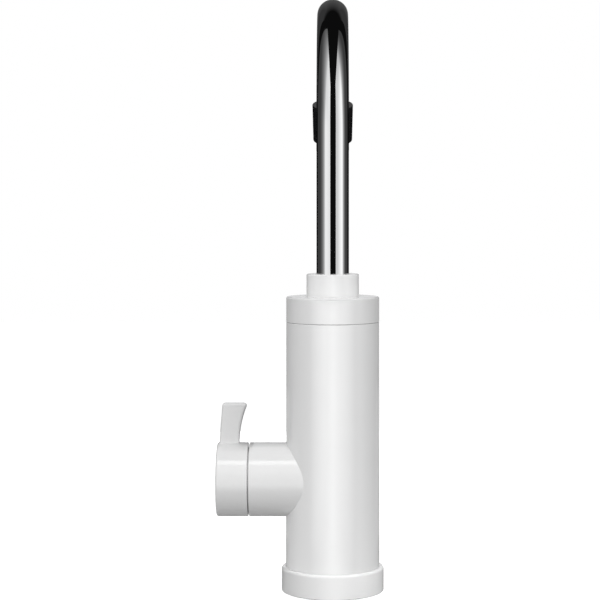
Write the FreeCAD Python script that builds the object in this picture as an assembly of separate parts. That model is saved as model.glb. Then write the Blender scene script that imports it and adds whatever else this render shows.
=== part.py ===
import FreeCAD, Part
import math
import os

V = FreeCAD.Vector

# Driving dimensions, in millimetres and degrees.
# The deck is the plane z = 0 and the body stands on the z axis.
# The spout leans to -y and the handle is on +x.

# Fits
over = 1.0
slip = 0.08
loose = 0.3
seal_slack = 0.05
groove_room = 0.3
screw_gap = 0.15

# Outside of the body
body_d = 55.0
body_wall = 2.5
seam_z = 158.5
seam_bevel = 0.35
cap_h = 15.1
cap_plate = 3.0
cap_lip = 3.0
cap_round = 1.1
base_wall = 2.42
base_h = 14.8
base_floor = 3.5
base_lip = 0.2
base_foot_round = 1.5
collar_d = 31.0
collar_h = 13.4
collar_plate = 3.0
collar_round = 0.9

# Spout and outlet
tube_d = 19.3
tube_wall = 1.0
arch_r = 80.0
arch_z = 267.75
arch_sweep = 160.0
tube_tail = 6.0
swivel_len = 20.0
swivel_wall = 1.7
swivel_groove = 1.25
neck_choke = 2.0
neck_floor = 3.0
neck_wall = 2.0
clip_t = 1.2
clip_bite = 0.5
nozzle_d = 27.5
nozzle_taper = 0.5
nozzle_len = 25.5
nozzle_wall = 1.9
nozzle_rim = 0.35
nozzle_round = 0.9
nozzle_seal_t = 2.0
aerator_len = 14.5
aerator_plate = 1.6

# Handle
handle_z = 65.8
handle_d = 43.3
stub_end = 49.0
stub_wall = 2.5
stub_plate = 3.0
handle_gap = 0.7
knob_len = 18.4
knob_wall = 2.8
knob_end = 4.5
knob_round = 1.3
edge_round = 0.45
shoulder_len = 2.0
shoulder_wall = 1.6
lever_h = 23.35
lever_w = 11.65
lever_inset = 1.35
lever_lean = 1.8
lever_flare = 5.1
lever_t = 6.4
lever_tip_t = 5.8
lever_corner = 1.8
lever_round = 1.0
hub_r = 7.5
cap_plug_r = 5.6
cap_plug_t = 1.4
handle_screw_r = 1.95
handle_screw_len = 11.0
handle_screw_head_t = 1.9
handle_screw_room = 0.4

# Valve
cart_r = 11.8
cart_gap = 0.2
cart_wall = 1.1
cart_groove = 1.0
valve_seat_x = 6.0
disc_seal_t = 1.5
disc_t = 3.0
carrier_t = 4.5
carrier_room = 0.4
key_w = 4.0
key_h = 1.0
port_r = 2.6
port_offset = 6.0
stem_r = 4.9
stem_groove = 1.2
stem_tip_r = 4.0
stem_flat = 3.1
gland_h = 5.0
gland_flats = 26.0
block_front = 22.0
block_cover = 11.0
passage_r = 3.5
sense_r = 1.2

# Inlet under the deck
shank_y = -6.0
shank_r = 11.456
shank_drop = 48.0
shank_bore_r = 6.0
thread_pitch = 1.814
thread_depth = 1.16
thread_turns = 17
hose_r = 10.478
hose_turns = 7
shank_flange_r = 14.5
shank_flange_t = 4.0
column_r = 10.0
spigot_r = 8.0
spigot_len = 8.0
spigot_gap = 0.1
spigot_groove = 1.1
deck_t = 20.0
clamp_r = 24.0
clamp_pad_t = 3.0
clamp_washer_t = 2.0
lock_nut_t = 8.0
lock_nut_flats = 28.0
gasket_w = 2.0
gasket_t = 2.0

# Cable entry and wiring
cable_r = 4.0
bush_wall = 0.75
bush_lip = 0.85
bush_up = 10.0
terminal_w = 22.0
terminal_t = 12.0
terminal_h = 12.0
terminal_pitch = 6.6
terminal_gap = 2.0
wire_hole_r = 1.6
wire_hole_len = 8.0
wire_screw_r = 1.1
lead_r = 1.0
lead_bend = 3.0
lead_angle = 147.0
blade_len = 4.0

# Screws
screw_r = 1.5
screw_head_r = 2.9
screw_head_t = 1.8
small_screw_r = 1.25
small_head_r = 2.2
small_head_t = 1.5
tiny_screw_r = 1.0
tiny_head_r = 1.8
tiny_head_t = 0.9
base_screw_inset = 3.2
base_screw_len = 12.0
base_screw_web = 1.5
boss_wall = 1.85

# Flow switch
diaphragm_r = 8.8
diaphragm_t = 1.2
pocket_r = 7.0
pocket_depth = 2.0
cover_r = 12.6
cover_len = 6.0
cover_wall = 1.0
cover_recess_r = 6.4
cover_screw_ring = 10.6
cover_screw_bite = 2.6
plunger_r = 2.0
plunger_head_r = 5.2
plunger_head_t = 1.2
plunger_travel = 1.2
plunger_proud = 1.0
spring_r = 3.9
spring_wire = 0.3
spring_turns = 3.0
button_proud = 1.4
button_gap = 0.05
switch_depth = 6.8
switch_w = 10.0
switch_h = 20.0
switch_hole = 8.0
button_r = 1.7
button_root = 1.5
blade_t = 0.8
blade_w = 2.8
switch_clear = 0.65

# Heater
chamber_gap = 10.0
chamber_wall = 2.5
chamber_floor = 3.5
chamber_room = 3.0
chamber_gasket_t = 1.2
lid_t = 4.5
lid_room = 3.2
lid_screw_len = 9.0
ear_r = 2.7
leg_r = 3.0
leg_inset = 5.0
coil_side = 2.5
coil_wire = 2.5
coil_bend = 7.0
coil_turns = 3.5
coil_clear = 1.8
coil_stub = 3.0
terminal_stub = 2.4
terminal_pin_r = 1.6
bush_t = 0.9
transfer_r = 5.0
transfer_bite = 6.5
transfer_gap = 0.1
transfer_groove = 0.9
transfer_wall = 3.0
cutout_r = 6.4
cutout_t = 5.0
cutout_inset = 1.0
cutout_tag_y = 3.4
cutout_step = 2.0
cutout_crown = 1.4
cutout_ear = 2.4
bracket_t = 0.8

# Sizes that follow
body_r = body_d / 2
shell_r = body_r - body_wall
socket_r = body_r + slip
base_r = socket_r + base_wall
handle_r = handle_d / 2
stub_r = handle_r - stub_wall
cap_top = seam_z + cap_h
collar_top = cap_top + collar_h
collar_r = collar_d / 2
tube_r = tube_d / 2
tube_bore_r = tube_r - tube_wall
swivel_r = tube_r + swivel_wall
swivel_groove_r = swivel_r - swivel_groove
neck_bore_r = swivel_r + slip
neck_r = neck_bore_r + neck_wall
clip_z = collar_top - collar_plate - loose - clip_t
neck_top = clip_z - loose
tube_foot = neck_top - swivel_len
knob_x = stub_end + handle_gap
shoulder_r = handle_r - knob_wall - loose
knob_tip = knob_x + knob_len
knob_floor = knob_tip - knob_end
stem_bore_r = stem_r + slip
stem_groove_r = stem_r - stem_groove
cart_groove_r = cart_r - cart_groove
carrier_r = cart_r - cart_wall - loose
disc_x = valve_seat_x + disc_seal_t
moving_x = disc_x + disc_t
carrier_x = moving_x + disc_t
carrier_end = carrier_x + carrier_t
stem_groove_x = (carrier_end + stub_end) / 2
cart_groove_x = (carrier_end + carrier_room + block_front) / 2
cart_bore_r = cart_r + cart_gap
cart_end = stub_end + gland_h + 1.0
stem_clip_x = cart_end + 0.2
hub_x = stem_clip_x + clip_t + loose
stem_tip = knob_floor - 0.8
screw_seat_x = knob_tip - cap_plug_t - handle_screw_room - handle_screw_head_t
block_r = shell_r - 0.6
block_low = handle_z - cart_bore_r - block_cover
block_top = handle_z + cart_bore_r + block_cover
spigot_bore_r = spigot_r + spigot_gap
spigot_groove_r = spigot_r - spigot_groove
spigot_top = block_low + spigot_len
inlet_z = handle_z - port_offset
outlet_z = handle_z + port_offset
inlet_y = shank_y + passage_r - 0.5
flange_top = base_floor + shank_flange_t
cable_bore_r = cable_r + 0.1
bush_r = cable_bore_r + bush_wall
bush_lip_r = bush_r + bush_lip
cable_y = shank_y + lock_nut_flats / math.sqrt(3) + cable_r + 0.4
gasket_r = body_r
base_screw_ring = shell_r - base_screw_inset
switch_back = tiny_head_t + switch_clear - shell_r
switch_face = switch_back + switch_depth
button_tip = switch_face + button_proud
plunger_tip = button_tip + button_gap
cover_out = plunger_tip + plunger_proud
cover_in = cover_out + cover_len
block_back = cover_in + diaphragm_t
transfer_bore_r = transfer_r + transfer_gap
transfer_groove_r = transfer_r - transfer_groove
chamber_r = shell_r - chamber_room
chamber_bore_r = chamber_r - chamber_wall
chamber_low = block_top + chamber_gap
chamber_in = chamber_low + chamber_floor
lid_top = seam_z - cap_lip - lid_room
lid_low = lid_top - lid_t
chamber_rim = lid_low - chamber_gasket_t
ear_ring = shell_r - ear_r - loose
leg_ring = chamber_r - leg_inset
coil_r = chamber_bore_r - coil_wire - coil_side
coil_low = chamber_in + coil_bend + coil_clear
coil_top = chamber_rim - coil_bend - coil_clear
coil_pitch = (coil_top - coil_low) / coil_turns
cutout_low = chamber_low - cutout_t
cutout_x = cutout_r + cutout_inset - chamber_r
neck_water_r = tube_bore_r - neck_choke
neck_stem_r = neck_water_r + neck_floor
neck_cup = tube_foot - neck_floor


def post(r, z0, z1, x=0.0, y=0.0):
    return Part.makeCylinder(r, z1 - z0, V(x, y, z0))


def pipe(outer, inner, z0, z1, x=0.0, y=0.0):
    return post(outer, z0, z1, x, y).cut(post(inner, z0 - over, z1 + over, x, y))


def rod(r, x0, x1, y=0.0, z=0.0):
    return Part.makeCylinder(r, x1 - x0, V(x0, y, handle_z + z), V(1, 0, 0))


def sleeve(outer, inner, x0, x1):
    return rod(outer, x0, x1).cut(rod(inner, x0 - over, x1 + over))


def box(x0, x1, y0, y1, z0, z1):
    return Part.makeBox(x1 - x0, y1 - y0, z1 - z0, V(x0, y0, z0))


def lathe(outline, x=0.0, y=0.0):
    corners = [V(x + r, y, z) for r, z in outline + outline[:1]]
    face = Part.Face(Part.makePolygon(corners))
    return face.revolve(V(x, y, 0), V(0, 0, 1), 360)


def around(ring, angle):
    turn = math.radians(angle)
    return ring * math.cos(turn), ring * math.sin(turn)


def aim(shape, point, direction):
    placed = shape.copy()
    placed.Placement = FreeCAD.Placement(point, FreeCAD.Rotation(V(0, 0, 1), direction))
    return placed


def circles(shape, r, place):
    found = []
    for edge in shape.Edges:
        round_edge = isinstance(edge.Curve, Part.Circle)
        if round_edge and abs(edge.Curve.Radius - r) < 0.001:
            if abs(place(edge.Curve.Center)) < 0.001:
                found.append(edge)
    return found


def round_at_z(shape, size, r, z):
    return shape.makeFillet(size, circles(shape, r, lambda c: c.z - z))


def round_at_x(shape, size, r, x):
    return shape.makeFillet(size, circles(shape, r, lambda c: c.x - x))


def cut_all(shape, tools):
    return shape.cut(tools) if tools else shape


def hexagon(flats, z0, z1, x=0.0, y=0.0):
    corner = flats / math.sqrt(3)
    ring = [around(corner, 60 * i) for i in range(7)]
    face = Part.Face(Part.makePolygon([V(x + px, y + py, z0) for px, py in ring]))
    return face.extrude(V(0, 0, z1 - z0))


def screw(r, length, head_r, head_t):
    body = post(r, -length, 0).fuse(post(head_r, 0, head_t))
    slot = 0.6 * head_r
    bar = head_r * 0.13
    deep = 0.6 * head_t
    cross = box(-slot, slot, -bar, bar, head_t - deep, head_t + over)
    cross = cross.fuse(box(-bar, bar, -slot, slot, head_t - deep, head_t + over))
    return round_at_z(body, 0.3 * head_t, head_r, head_t).cut(cross)


def ring_wire(bore, groove):
    return (bore - groove) / 2 - seal_slack


def groove_half(bore, groove):
    return ring_wire(bore, groove) + groove_room


def o_ring(bore, groove, point, axis):
    return Part.makeTorus((bore + groove) / 2, ring_wire(bore, groove), point, axis)


def holes_in_disc(r, pitch, hole, z0, z1):
    pins = []
    steps = int(r / pitch) + 2
    for i in range(-steps, steps + 1):
        for j in range(-steps, steps + 1):
            x = pitch * (i + j / 2)
            y = pitch * j * math.sqrt(3) / 2
            if math.hypot(x, y) + hole < r - 0.4:
                pins.append(post(hole, z0 - over, z1 + over, x, y))
    return pins


def arc_middle(start, tangent, end):
    chord = end.sub(start)
    side = chord.sub(V(tangent).multiply(chord.dot(tangent)))
    side.normalize()
    radius = chord.dot(chord) / (2 * chord.dot(side))
    centre = start.add(V(side).multiply(radius))
    half = start.sub(centre).add(end.sub(centre))
    half.normalize()
    return centre.add(half.multiply(radius))


def arc_from(start, tangent, end):
    return Part.Arc(start, arc_middle(start, tangent, end), end).toShape()


def arc_into(start, end, tangent):
    middle = arc_middle(end, V(tangent).negative(), start)
    return Part.Arc(start, middle, end).toShape()


def biarc(start, leave, end, arrive):
    gap = end.sub(start)
    both = leave.add(arrive)
    bend = 2 * (1 - leave.dot(arrive))
    along = gap.dot(both)
    reach = (math.sqrt(along * along + bend * gap.dot(gap)) - along) / bend
    middle = start.add(end).add(leave.sub(arrive).multiply(reach)).multiply(0.5)
    return [arc_from(start, leave, middle), arc_into(middle, end, arrive)]


def helix_point(r, pitch, z0, turn):
    angle = 2 * math.pi * turn
    return V(r * math.cos(angle), r * math.sin(angle), z0 + pitch * turn)


def helix_way(r, pitch, turn):
    angle = 2 * math.pi * turn
    way = V(-r * math.sin(angle), r * math.cos(angle), pitch / (2 * math.pi))
    way.normalize()
    return way


def helix_arcs(r, pitch, z0, turns):
    arcs = []
    quarters = int(round(4 * turns))
    for i in range(quarters):
        a = turns * i / quarters
        b = turns * (i + 1) / quarters
        ends = helix_point(r, pitch, z0, a), helix_point(r, pitch, z0, b)
        arcs += biarc(ends[0], helix_way(r, pitch, a), ends[1], helix_way(r, pitch, b))
    return arcs


def sweep(edges, wire_r, start, way):
    path = Part.Wire(Part.__sortEdges__(edges))
    ring = Part.Wire(Part.Circle(start, way, wire_r).toShape())
    return path.makePipeShell([ring], True, False)


def print_self_gap(name, edges, wire_r):
    points = []
    for edge in edges:
        points += edge.discretize(12)[:-1]
    least = None
    for i, p in enumerate(points):
        travelled = 0.0
        for j in range(i + 1, len(points)):
            travelled += points[j].distanceToPoint(points[j - 1])
            apart = p.distanceToPoint(points[j])
            if travelled > 8 * wire_r and apart < travelled * 0.7:
                least = apart if least is None else min(least, apart)
    print(name, "least gap to itself", round(least - 2 * wire_r, 2), "mm")


def rounded_path(points, bend):
    edges = []
    here = points[0]
    for i in range(1, len(points) - 1):
        back = points[i - 1].sub(points[i])
        ahead = points[i + 1].sub(points[i])
        back.normalize()
        ahead.normalize()
        half = math.acos(max(-1.0, min(1.0, back.dot(ahead)))) / 2
        trim = bend / math.tan(half)
        into = points[i].add(V(back).multiply(trim))
        out = points[i].add(V(ahead).multiply(trim))
        edges.append(Part.makeLine(here, into))
        edges.append(arc_from(into, V(back).negative(), out))
        here = out
    edges.append(Part.makeLine(here, points[-1]))
    return edges


def lead(points):
    way = points[1].sub(points[0])
    return sweep(rounded_path(points, lead_bend), lead_r, points[0], way)


# Base and inlet

def base_screw_spots():
    return [around(base_screw_ring, angle) for angle in (15, 165, 195, 345)]


def base_cup():
    outline = [(0, 0), (base_r, 0), (base_r, base_h), (socket_r, base_h)]
    outline += [(socket_r, base_floor), (0, base_floor)]
    cup = lathe(outline)
    cup = round_at_z(cup, base_r - socket_r - base_lip, base_r, base_h)
    cup = round_at_z(cup, base_foot_round, base_r, 0)
    groove = pipe(gasket_r + slip, gasket_r - gasket_w - slip, -over, gasket_t)
    tools = [groove]
    tools.append(post(shank_r + 0.2, -over, base_floor + over, 0, shank_y))
    tools.append(post(bush_r + slip, -over, base_floor + over, 0, cable_y))
    seat = base_floor - base_screw_web
    for x, y in base_screw_spots():
        tools.append(post(screw_r + 0.2, -over, base_floor + over, x, y))
        tools.append(post(screw_head_r + loose, -over, seat, x, y))
    return cut_all(cup, tools)


def deck_gasket():
    return pipe(gasket_r, gasket_r - gasket_w, 0, gasket_t)


def base_screws():
    one = screw(screw_r, base_screw_len, screw_head_r, screw_head_t)
    seat = base_floor - base_screw_web
    spots = base_screw_spots()
    return Part.makeCompound([aim(one, V(x, y, seat), V(0, 0, -1)) for x, y in spots])


def shank_groove_z():
    return block_low + spigot_len / 2


def thread(crest, turns, z0):
    outline = []
    for i in range(turns):
        z = z0 + i * thread_pitch
        outline.append((crest - thread_depth, z))
        outline.append((crest, z + 0.4 * thread_pitch))
        outline.append((crest, z + 0.6 * thread_pitch))
    outline.append((crest - thread_depth, z0 + turns * thread_pitch))
    return outline


def inlet_shank():
    neck = hose_turns * thread_pitch + 1.0 - shank_drop
    upper = neck + thread_turns * thread_pitch
    outline = [(shank_bore_r, -shank_drop)] + thread(hose_r, hose_turns, -shank_drop)
    outline += [(hose_r - thread_depth, neck)] + thread(shank_r, thread_turns, neck)
    outline += [(shank_r, upper + 0.4 * thread_pitch), (shank_r, base_floor)]
    outline += [(shank_flange_r, base_floor), (shank_flange_r, flange_top)]
    outline += [(column_r, flange_top), (column_r, block_low), (spigot_r, block_low)]
    half = groove_half(spigot_bore_r, spigot_groove_r)
    low = shank_groove_z() - half
    top = shank_groove_z() + half
    outline += [(spigot_r, low), (spigot_groove_r, low), (spigot_groove_r, top), (spigot_r, top)]
    outline += [(spigot_r, spigot_top), (shank_bore_r, spigot_top)]
    flat = cable_y - bush_lip_r - loose
    wide = 2 * shank_flange_r
    notch = box(-wide, wide, flat, flat + wide, base_floor, flange_top)
    return lathe(outline, 0, shank_y).cut(notch)


def shank_ring():
    point = V(0, shank_y, shank_groove_z())
    return o_ring(spigot_bore_r, spigot_groove_r, point, V(0, 0, 1))


def inlet_strainer():
    r = shank_bore_r - slip
    disc = cut_all(post(r, 0, 0.8), holes_in_disc(r - 0.8, 1.9, 0.65, 0, 0.8))
    cup = disc.fuse(pipe(r, r - 0.8, 0, 3.0))
    return aim(cup, V(0, shank_y, 2.0 - shank_drop), V(0, 0, 1))


def cable_bush():
    lip = base_floor + 1.6
    top = base_floor + bush_up
    outline = [(cable_bore_r, loose), (bush_r, loose), (bush_r, base_floor)]
    outline += [(bush_lip_r, base_floor), (bush_lip_r, lip), (bush_r + 0.4, lip)]
    outline += [(bush_r + 0.2, top), (cable_bore_r, top)]
    return lathe(outline, 0, cable_y)


def horseshoe(z0, z1):
    plate = pipe(clamp_r, shank_r + 2 * loose, z0, z1, 0, shank_y)
    slot = cable_r + 1.2
    return plate.cut(box(-slot, slot, shank_y, shank_y + 2 * clamp_r, z0 - over, z1 + over))


def clamp_pad():
    return horseshoe(-deck_t - clamp_pad_t, -deck_t)


def clamp_washer():
    top = -deck_t - clamp_pad_t
    return horseshoe(top - clamp_washer_t, top)


def lock_nut():
    top = -deck_t - clamp_pad_t - clamp_washer_t
    low = top - lock_nut_t
    nut = hexagon(lock_nut_flats, low, top, 0, shank_y)
    corner = lock_nut_flats / math.sqrt(3)
    rim = lock_nut_flats / 2
    drop = (corner - rim) * 0.6
    outline = [(0, low), (rim, low), (corner + 0.01, low + drop)]
    outline += [(corner + 0.01, top - drop), (rim, top), (0, top)]
    nut = nut.common(lathe(outline, 0, shank_y))
    return nut.cut(post(shank_r + loose, low - over, top + over, 0, shank_y))


# Body

def body_shell():
    outside = post(body_r, base_floor, seam_z).fuse(rod(handle_r, 0, stub_end))
    inside = post(shell_r, base_floor - over, seam_z + over)
    inside = inside.fuse(rod(stub_r, 0, stub_end - stub_plate))
    shell = outside.removeSplitter().cut(inside)
    shell = shell.cut(rod(cart_bore_r, 0, stub_end + over))
    shoulder_end = stub_end + shoulder_len
    shoulder = sleeve(shoulder_r, shoulder_r - shoulder_wall, stub_end - over, shoulder_end)
    shell = shell.fuse(shoulder).removeSplitter()
    shell = shell.makeChamfer(seam_bevel, circles(shell, body_r, lambda c: c.z - seam_z))
    shell = round_at_x(shell, edge_round, handle_r, stub_end)
    boss_r = screw_r + boss_wall
    top = base_floor + base_screw_len + 2.0
    for x, y in base_screw_spots():
        boss = post(boss_r, base_floor, top, x, y)
        web = box(base_screw_ring, body_r, -boss_wall, boss_wall, base_floor, top)
        web.rotate(V(0, 0, 0), V(0, 0, 1), math.degrees(math.atan2(y, x)))
        boss = boss.fuse(web).common(post(body_r - body_wall / 2, base_floor, top))
        shell = shell.fuse(boss)
    pilots = [post(screw_r + slip, base_floor - over, top - 1.5, x, y)
              for x, y in base_screw_spots()]
    return cut_all(shell.removeSplitter(), pilots)


def top_cap():
    inner = cap_top - cap_plate
    lip_r = shell_r - slip
    step = lip_r - 2.0
    outline = [(neck_r + loose, inner), (neck_r + loose, cap_top), (body_r, cap_top)]
    outline += [(body_r, seam_z), (lip_r, seam_z), (lip_r, seam_z - cap_lip)]
    outline += [(step, seam_z - cap_lip), (step, seam_z + 2.0)]
    outline += [(shell_r, seam_z + 4.0), (shell_r, inner)]
    cap = lathe(outline)
    cap = cap.makeChamfer(seam_bevel, circles(cap, body_r, lambda c: c.z - seam_z))
    return round_at_z(cap, cap_round, body_r, cap_top)


def spout_collar():
    under = collar_top - collar_plate
    outline = [(tube_r + slip, under), (tube_r + slip, collar_top), (collar_r, collar_top)]
    outline += [(collar_r, cap_top), (neck_r + slip, cap_top), (neck_r + slip, under)]
    return round_at_z(lathe(outline), collar_round, collar_r, collar_top)


# Valve

def valve_block():
    tall = box(block_back, block_front, -block_r, block_r, block_low, block_top)
    body = post(block_r, block_low, block_top).common(tall)
    tools = [rod(cart_bore_r, valve_seat_x, block_front + over)]
    tools.append(post(spigot_bore_r, block_low - over, spigot_top + 0.5, 0, shank_y))
    tools.append(post(passage_r, block_low, inlet_z, 0, shank_y))
    tools.append(rod(port_r, 0, valve_seat_x + over, inlet_y, -port_offset))
    tools.append(rod(port_r, 0, valve_seat_x + over, 0, port_offset))
    tools.append(post(passage_r, outlet_z, block_top + over))
    tools.append(post(transfer_bore_r, block_top - transfer_bite - loose, block_top + over))
    tools.append(rod(pocket_r, block_back - over, block_back + pocket_depth))
    tools.append(rod(sense_r, block_back, 0, 0, pocket_r - sense_r - loose))
    for y, z in cover_screw_spots():
        tools.append(rod(small_screw_r + slip, block_back - over,
                         block_back + cover_screw_bite + loose, y, z))
    return cut_all(body, tools)


def ports(x0, x1):
    low = rod(port_r, x0 - over, x1 + over, inlet_y, -port_offset)
    return [low, rod(port_r, x0 - over, x1 + over, 0, port_offset)]


def disc_seal():
    return cut_all(rod(cart_r, valve_seat_x, disc_x), ports(valve_seat_x, disc_x))


def fixed_disc():
    return cut_all(rod(cart_r, disc_x, moving_x), ports(disc_x, moving_x))


def moving_disc():
    r = carrier_r
    half = key_w / 2
    reach = port_r - screw_gap
    disc = rod(r, moving_x, carrier_x)
    track = sleeve(port_offset + reach, port_offset - reach, moving_x - over, moving_x + disc_t / 2)
    track = track.common(box(moving_x - over, carrier_x, -r, r, handle_z - loose, handle_z + r))
    slot = box(carrier_x - key_h, carrier_x + over, -half, half, handle_z - r, handle_z + r)
    return cut_all(disc, [track, slot])


def cartridge_body():
    body = rod(cart_r, moving_x, cart_end)
    tools = [rod(cart_r - cart_wall, moving_x - over, carrier_end + carrier_room)]
    tools.append(rod(stem_bore_r, moving_x, cart_end + over))
    half = groove_half(cart_bore_r, cart_groove_r)
    tools.append(sleeve(cart_r + over, cart_groove_r, cart_groove_x - half, cart_groove_x + half))
    return cut_all(body, tools)


def cartridge_ring():
    return o_ring(cart_bore_r, cart_groove_r, V(cart_groove_x, 0, handle_z), V(1, 0, 0))


def valve_stem():
    r = carrier_r
    stem = rod(r, carrier_x, carrier_end).fuse(rod(stem_r, carrier_x, hub_x))
    half = key_w / 2 - slip
    key = box(carrier_x - key_h + slip, carrier_x + over, -half, half, handle_z - r, handle_z + r)
    stem = stem.fuse(key.common(rod(r, carrier_x - over, carrier_end)))
    tip = rod(stem_tip_r, hub_x, stem_tip)
    tall = box(hub_x, stem_tip, -stem_flat, stem_flat, handle_z - stem_r, handle_z + stem_r)
    stem = stem.fuse(tip.common(tall)).removeSplitter()
    half = groove_half(stem_bore_r, stem_groove_r)
    tools = [sleeve(stem_r + over, stem_groove_r, stem_groove_x - half, stem_groove_x + half)]
    tools.append(sleeve(stem_r + over, stem_r - clip_bite, stem_clip_x - seal_slack,
                        stem_clip_x + clip_t + seal_slack))
    hole_end = screw_seat_x - handle_screw_len - handle_screw_room
    tools.append(rod(handle_screw_r + slip, hole_end, stem_tip + over))
    return cut_all(stem, tools)


def stem_ring():
    return o_ring(stem_bore_r, stem_groove_r, V(stem_groove_x, 0, handle_z), V(1, 0, 0))


def stem_clip():
    clip = sleeve(stem_r + 2.2, stem_r - clip_bite + 0.02, stem_clip_x, stem_clip_x + clip_t)
    return clip.cut(box(stem_clip_x - over, hub_x, -2.4, 2.4, handle_z, handle_z + 2 * stem_r))


def gland_nut():
    nut = hexagon(gland_flats, 0, gland_h).cut(post(cart_r + slip, -over, gland_h + over))
    return aim(nut, V(stub_end, 0, handle_z), V(1, 0, 0))


# Handle

def is_tip(edge, top):
    return edge.BoundBox.ZMin > top - 0.1 and edge.BoundBox.XLength < 0.1


def lever():
    low = handle_z + 0.8 * handle_r
    top = handle_z + handle_r + lever_h
    outer = knob_tip - lever_inset
    inner = outer - lever_w
    root = handle_z + handle_r
    bend = (lever_flare ** 2 + (top - root) ** 2) / (2 * lever_flare)
    half = math.asin((top - root) / bend) / 2
    middle = V(inner - bend * (1 - math.cos(half)), 0, root + bend * math.sin(half))
    a = V(inner, 0, low)
    b = V(inner, 0, root)
    c = V(inner - lever_flare, 0, top)
    d = V(outer - lever_lean, 0, top)
    e = V(outer, 0, low)
    edges = [Part.makeLine(a, b), Part.Arc(b, middle, c).toShape()]
    edges += [Part.makeLine(c, d), Part.makeLine(d, e), Part.makeLine(e, a)]
    face = Part.Face(Part.Wire(edges))
    face.translate(V(0, -lever_t, 0))
    blade = face.extrude(V(0, 2 * lever_t, 0))
    blade = blade.makeFillet(lever_corner, [edge for edge in blade.Edges if is_tip(edge, top)])
    wide = lever_t / 2
    thin = lever_tip_t / 2
    ring = [V(0, -wide, low), V(0, wide, low), V(0, thin, top), V(0, -thin, top)]
    taper = Part.Face(Part.makePolygon(ring + ring[:1])).extrude(V(2 * knob_tip, 0, 0))
    blade = blade.common(taper)
    sides = [edge for edge in blade.Edges if edge.BoundBox.YLength < thin]
    sharp = [edge for edge in sides if edge.BoundBox.ZMax > low + 0.1]
    return blade.makeFillet(lever_round, sharp)


def handle():
    knob = round_at_x(rod(handle_r, knob_x, knob_tip), knob_round, handle_r, knob_tip)
    knob = round_at_x(knob, edge_round, handle_r, knob_x)
    knob = knob.fuse(lever()).removeSplitter()
    knob = knob.cut(rod(handle_r - knob_wall, knob_x - over, knob_floor))
    knob = knob.fuse(rod(hub_r, hub_x, knob_floor + 0.5)).removeSplitter()
    bore = rod(stem_tip_r + slip, hub_x - over, stem_tip + 0.2)
    flat = stem_flat + slip
    slot = box(hub_x - over, knob_tip, -flat, flat, handle_z - handle_r, handle_z + handle_r)
    tools = [bore.common(slot), rod(handle_screw_r + loose, stem_tip, knob_tip + over)]
    tools.append(rod(screw_head_r + 1.0, screw_seat_x, knob_tip + over))
    tools.append(rod(cap_plug_r + slip, knob_tip - cap_plug_t, knob_tip + over))
    return cut_all(knob, tools)


def handle_screw():
    one = screw(handle_screw_r, handle_screw_len, screw_head_r + 0.6, handle_screw_head_t)
    return aim(one, V(screw_seat_x, 0, handle_z), V(1, 0, 0))


def screw_cap():
    return rod(cap_plug_r, knob_tip - cap_plug_t, knob_tip)


# Flow switch

def cover_screw_spots():
    return [around(cover_screw_ring, angle) for angle in (45, 135, 225, 315)]


def diaphragm():
    return rod(diaphragm_r, cover_in, block_back)


def switch_cover():
    cover = rod(cover_r, cover_out, cover_in)
    for side in (-1, 1):
        cover = cover.fuse(rod(2 * tiny_screw_r, switch_face, cover_out + over, 0, side * switch_hole))
    tools = [rod(cover_recess_r, cover_out + cover_wall, cover_in + over)]
    tools.append(rod(plunger_r + slip, cover_out - over, cover_in))
    for y, z in cover_screw_spots():
        tools.append(rod(small_screw_r + screw_gap, cover_out - over, cover_in + over, y, z))
    for side in (-1, 1):
        tools.append(rod(tiny_screw_r + slip, switch_face - over, cover_in - 1.5, 0, side * switch_hole))
    return cut_all(cover.removeSplitter(), tools)


def cover_screws():
    length = block_back + cover_screw_bite - cover_out
    one = screw(small_screw_r, length, small_head_r - 0.2, small_head_t - 0.2)
    spots = cover_screw_spots()
    return Part.makeCompound([aim(one, V(cover_out, y, handle_z + z), V(-1, 0, 0))
                              for y, z in spots])


def flow_plunger():
    head = rod(plunger_head_r, cover_in - plunger_head_t, cover_in)
    stem = rod(plunger_r, plunger_tip, cover_in)
    return head.fuse(stem).removeSplitter()


def plunger_spring():
    room = cover_in - plunger_head_t - (cover_out + cover_wall)
    pitch = (room - 2 * spring_wire - 0.1) / spring_turns
    arcs = helix_arcs(spring_r, pitch, spring_wire + 0.05, spring_turns)
    first = helix_point(spring_r, pitch, spring_wire + 0.05, 0)
    last = helix_point(spring_r, pitch, spring_wire + 0.05, spring_turns)
    leave = helix_way(spring_r, pitch, 0)
    arrive = helix_way(spring_r, pitch, spring_turns)
    straight = V(leave.x, leave.y, 0).multiply(2 * spring_wire)
    start = first.sub(V(leave).multiply(2 * spring_wire))
    edges = [Part.makeLine(start, first)] + arcs
    edges.append(Part.makeLine(last, last.add(V(arrive).multiply(2 * spring_wire))))
    print_self_gap("plunger spring", edges, spring_wire)
    coil = sweep(edges, spring_wire, start, straight)
    return aim(coil, V(cover_out + cover_wall, 0, handle_z), V(1, 0, 0))


def micro_switch():
    half = switch_w / 2
    low = handle_z - switch_h / 2
    top = handle_z + switch_h / 2
    body = box(switch_back, switch_face, -half, half, low, top)
    x = (switch_face + switch_back) / 2
    for y in (-half / 2, half / 2):
        blade = box(x - blade_t / 2, x + blade_t / 2, y - blade_w / 2, y + blade_w / 2,
                    low - blade_len, low + over)
        body = body.fuse(blade)
    deep = button_root + plunger_travel + loose
    tools = [rod(button_r + slip, switch_face - deep, switch_face + over)]
    for side in (-1, 1):
        tools.append(rod(tiny_screw_r + slip, switch_back - over, switch_face + over,
                         0, side * switch_hole))
    return cut_all(body.removeSplitter(), tools)


def switch_button():
    return rod(button_r, switch_face - button_root, button_tip)


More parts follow.
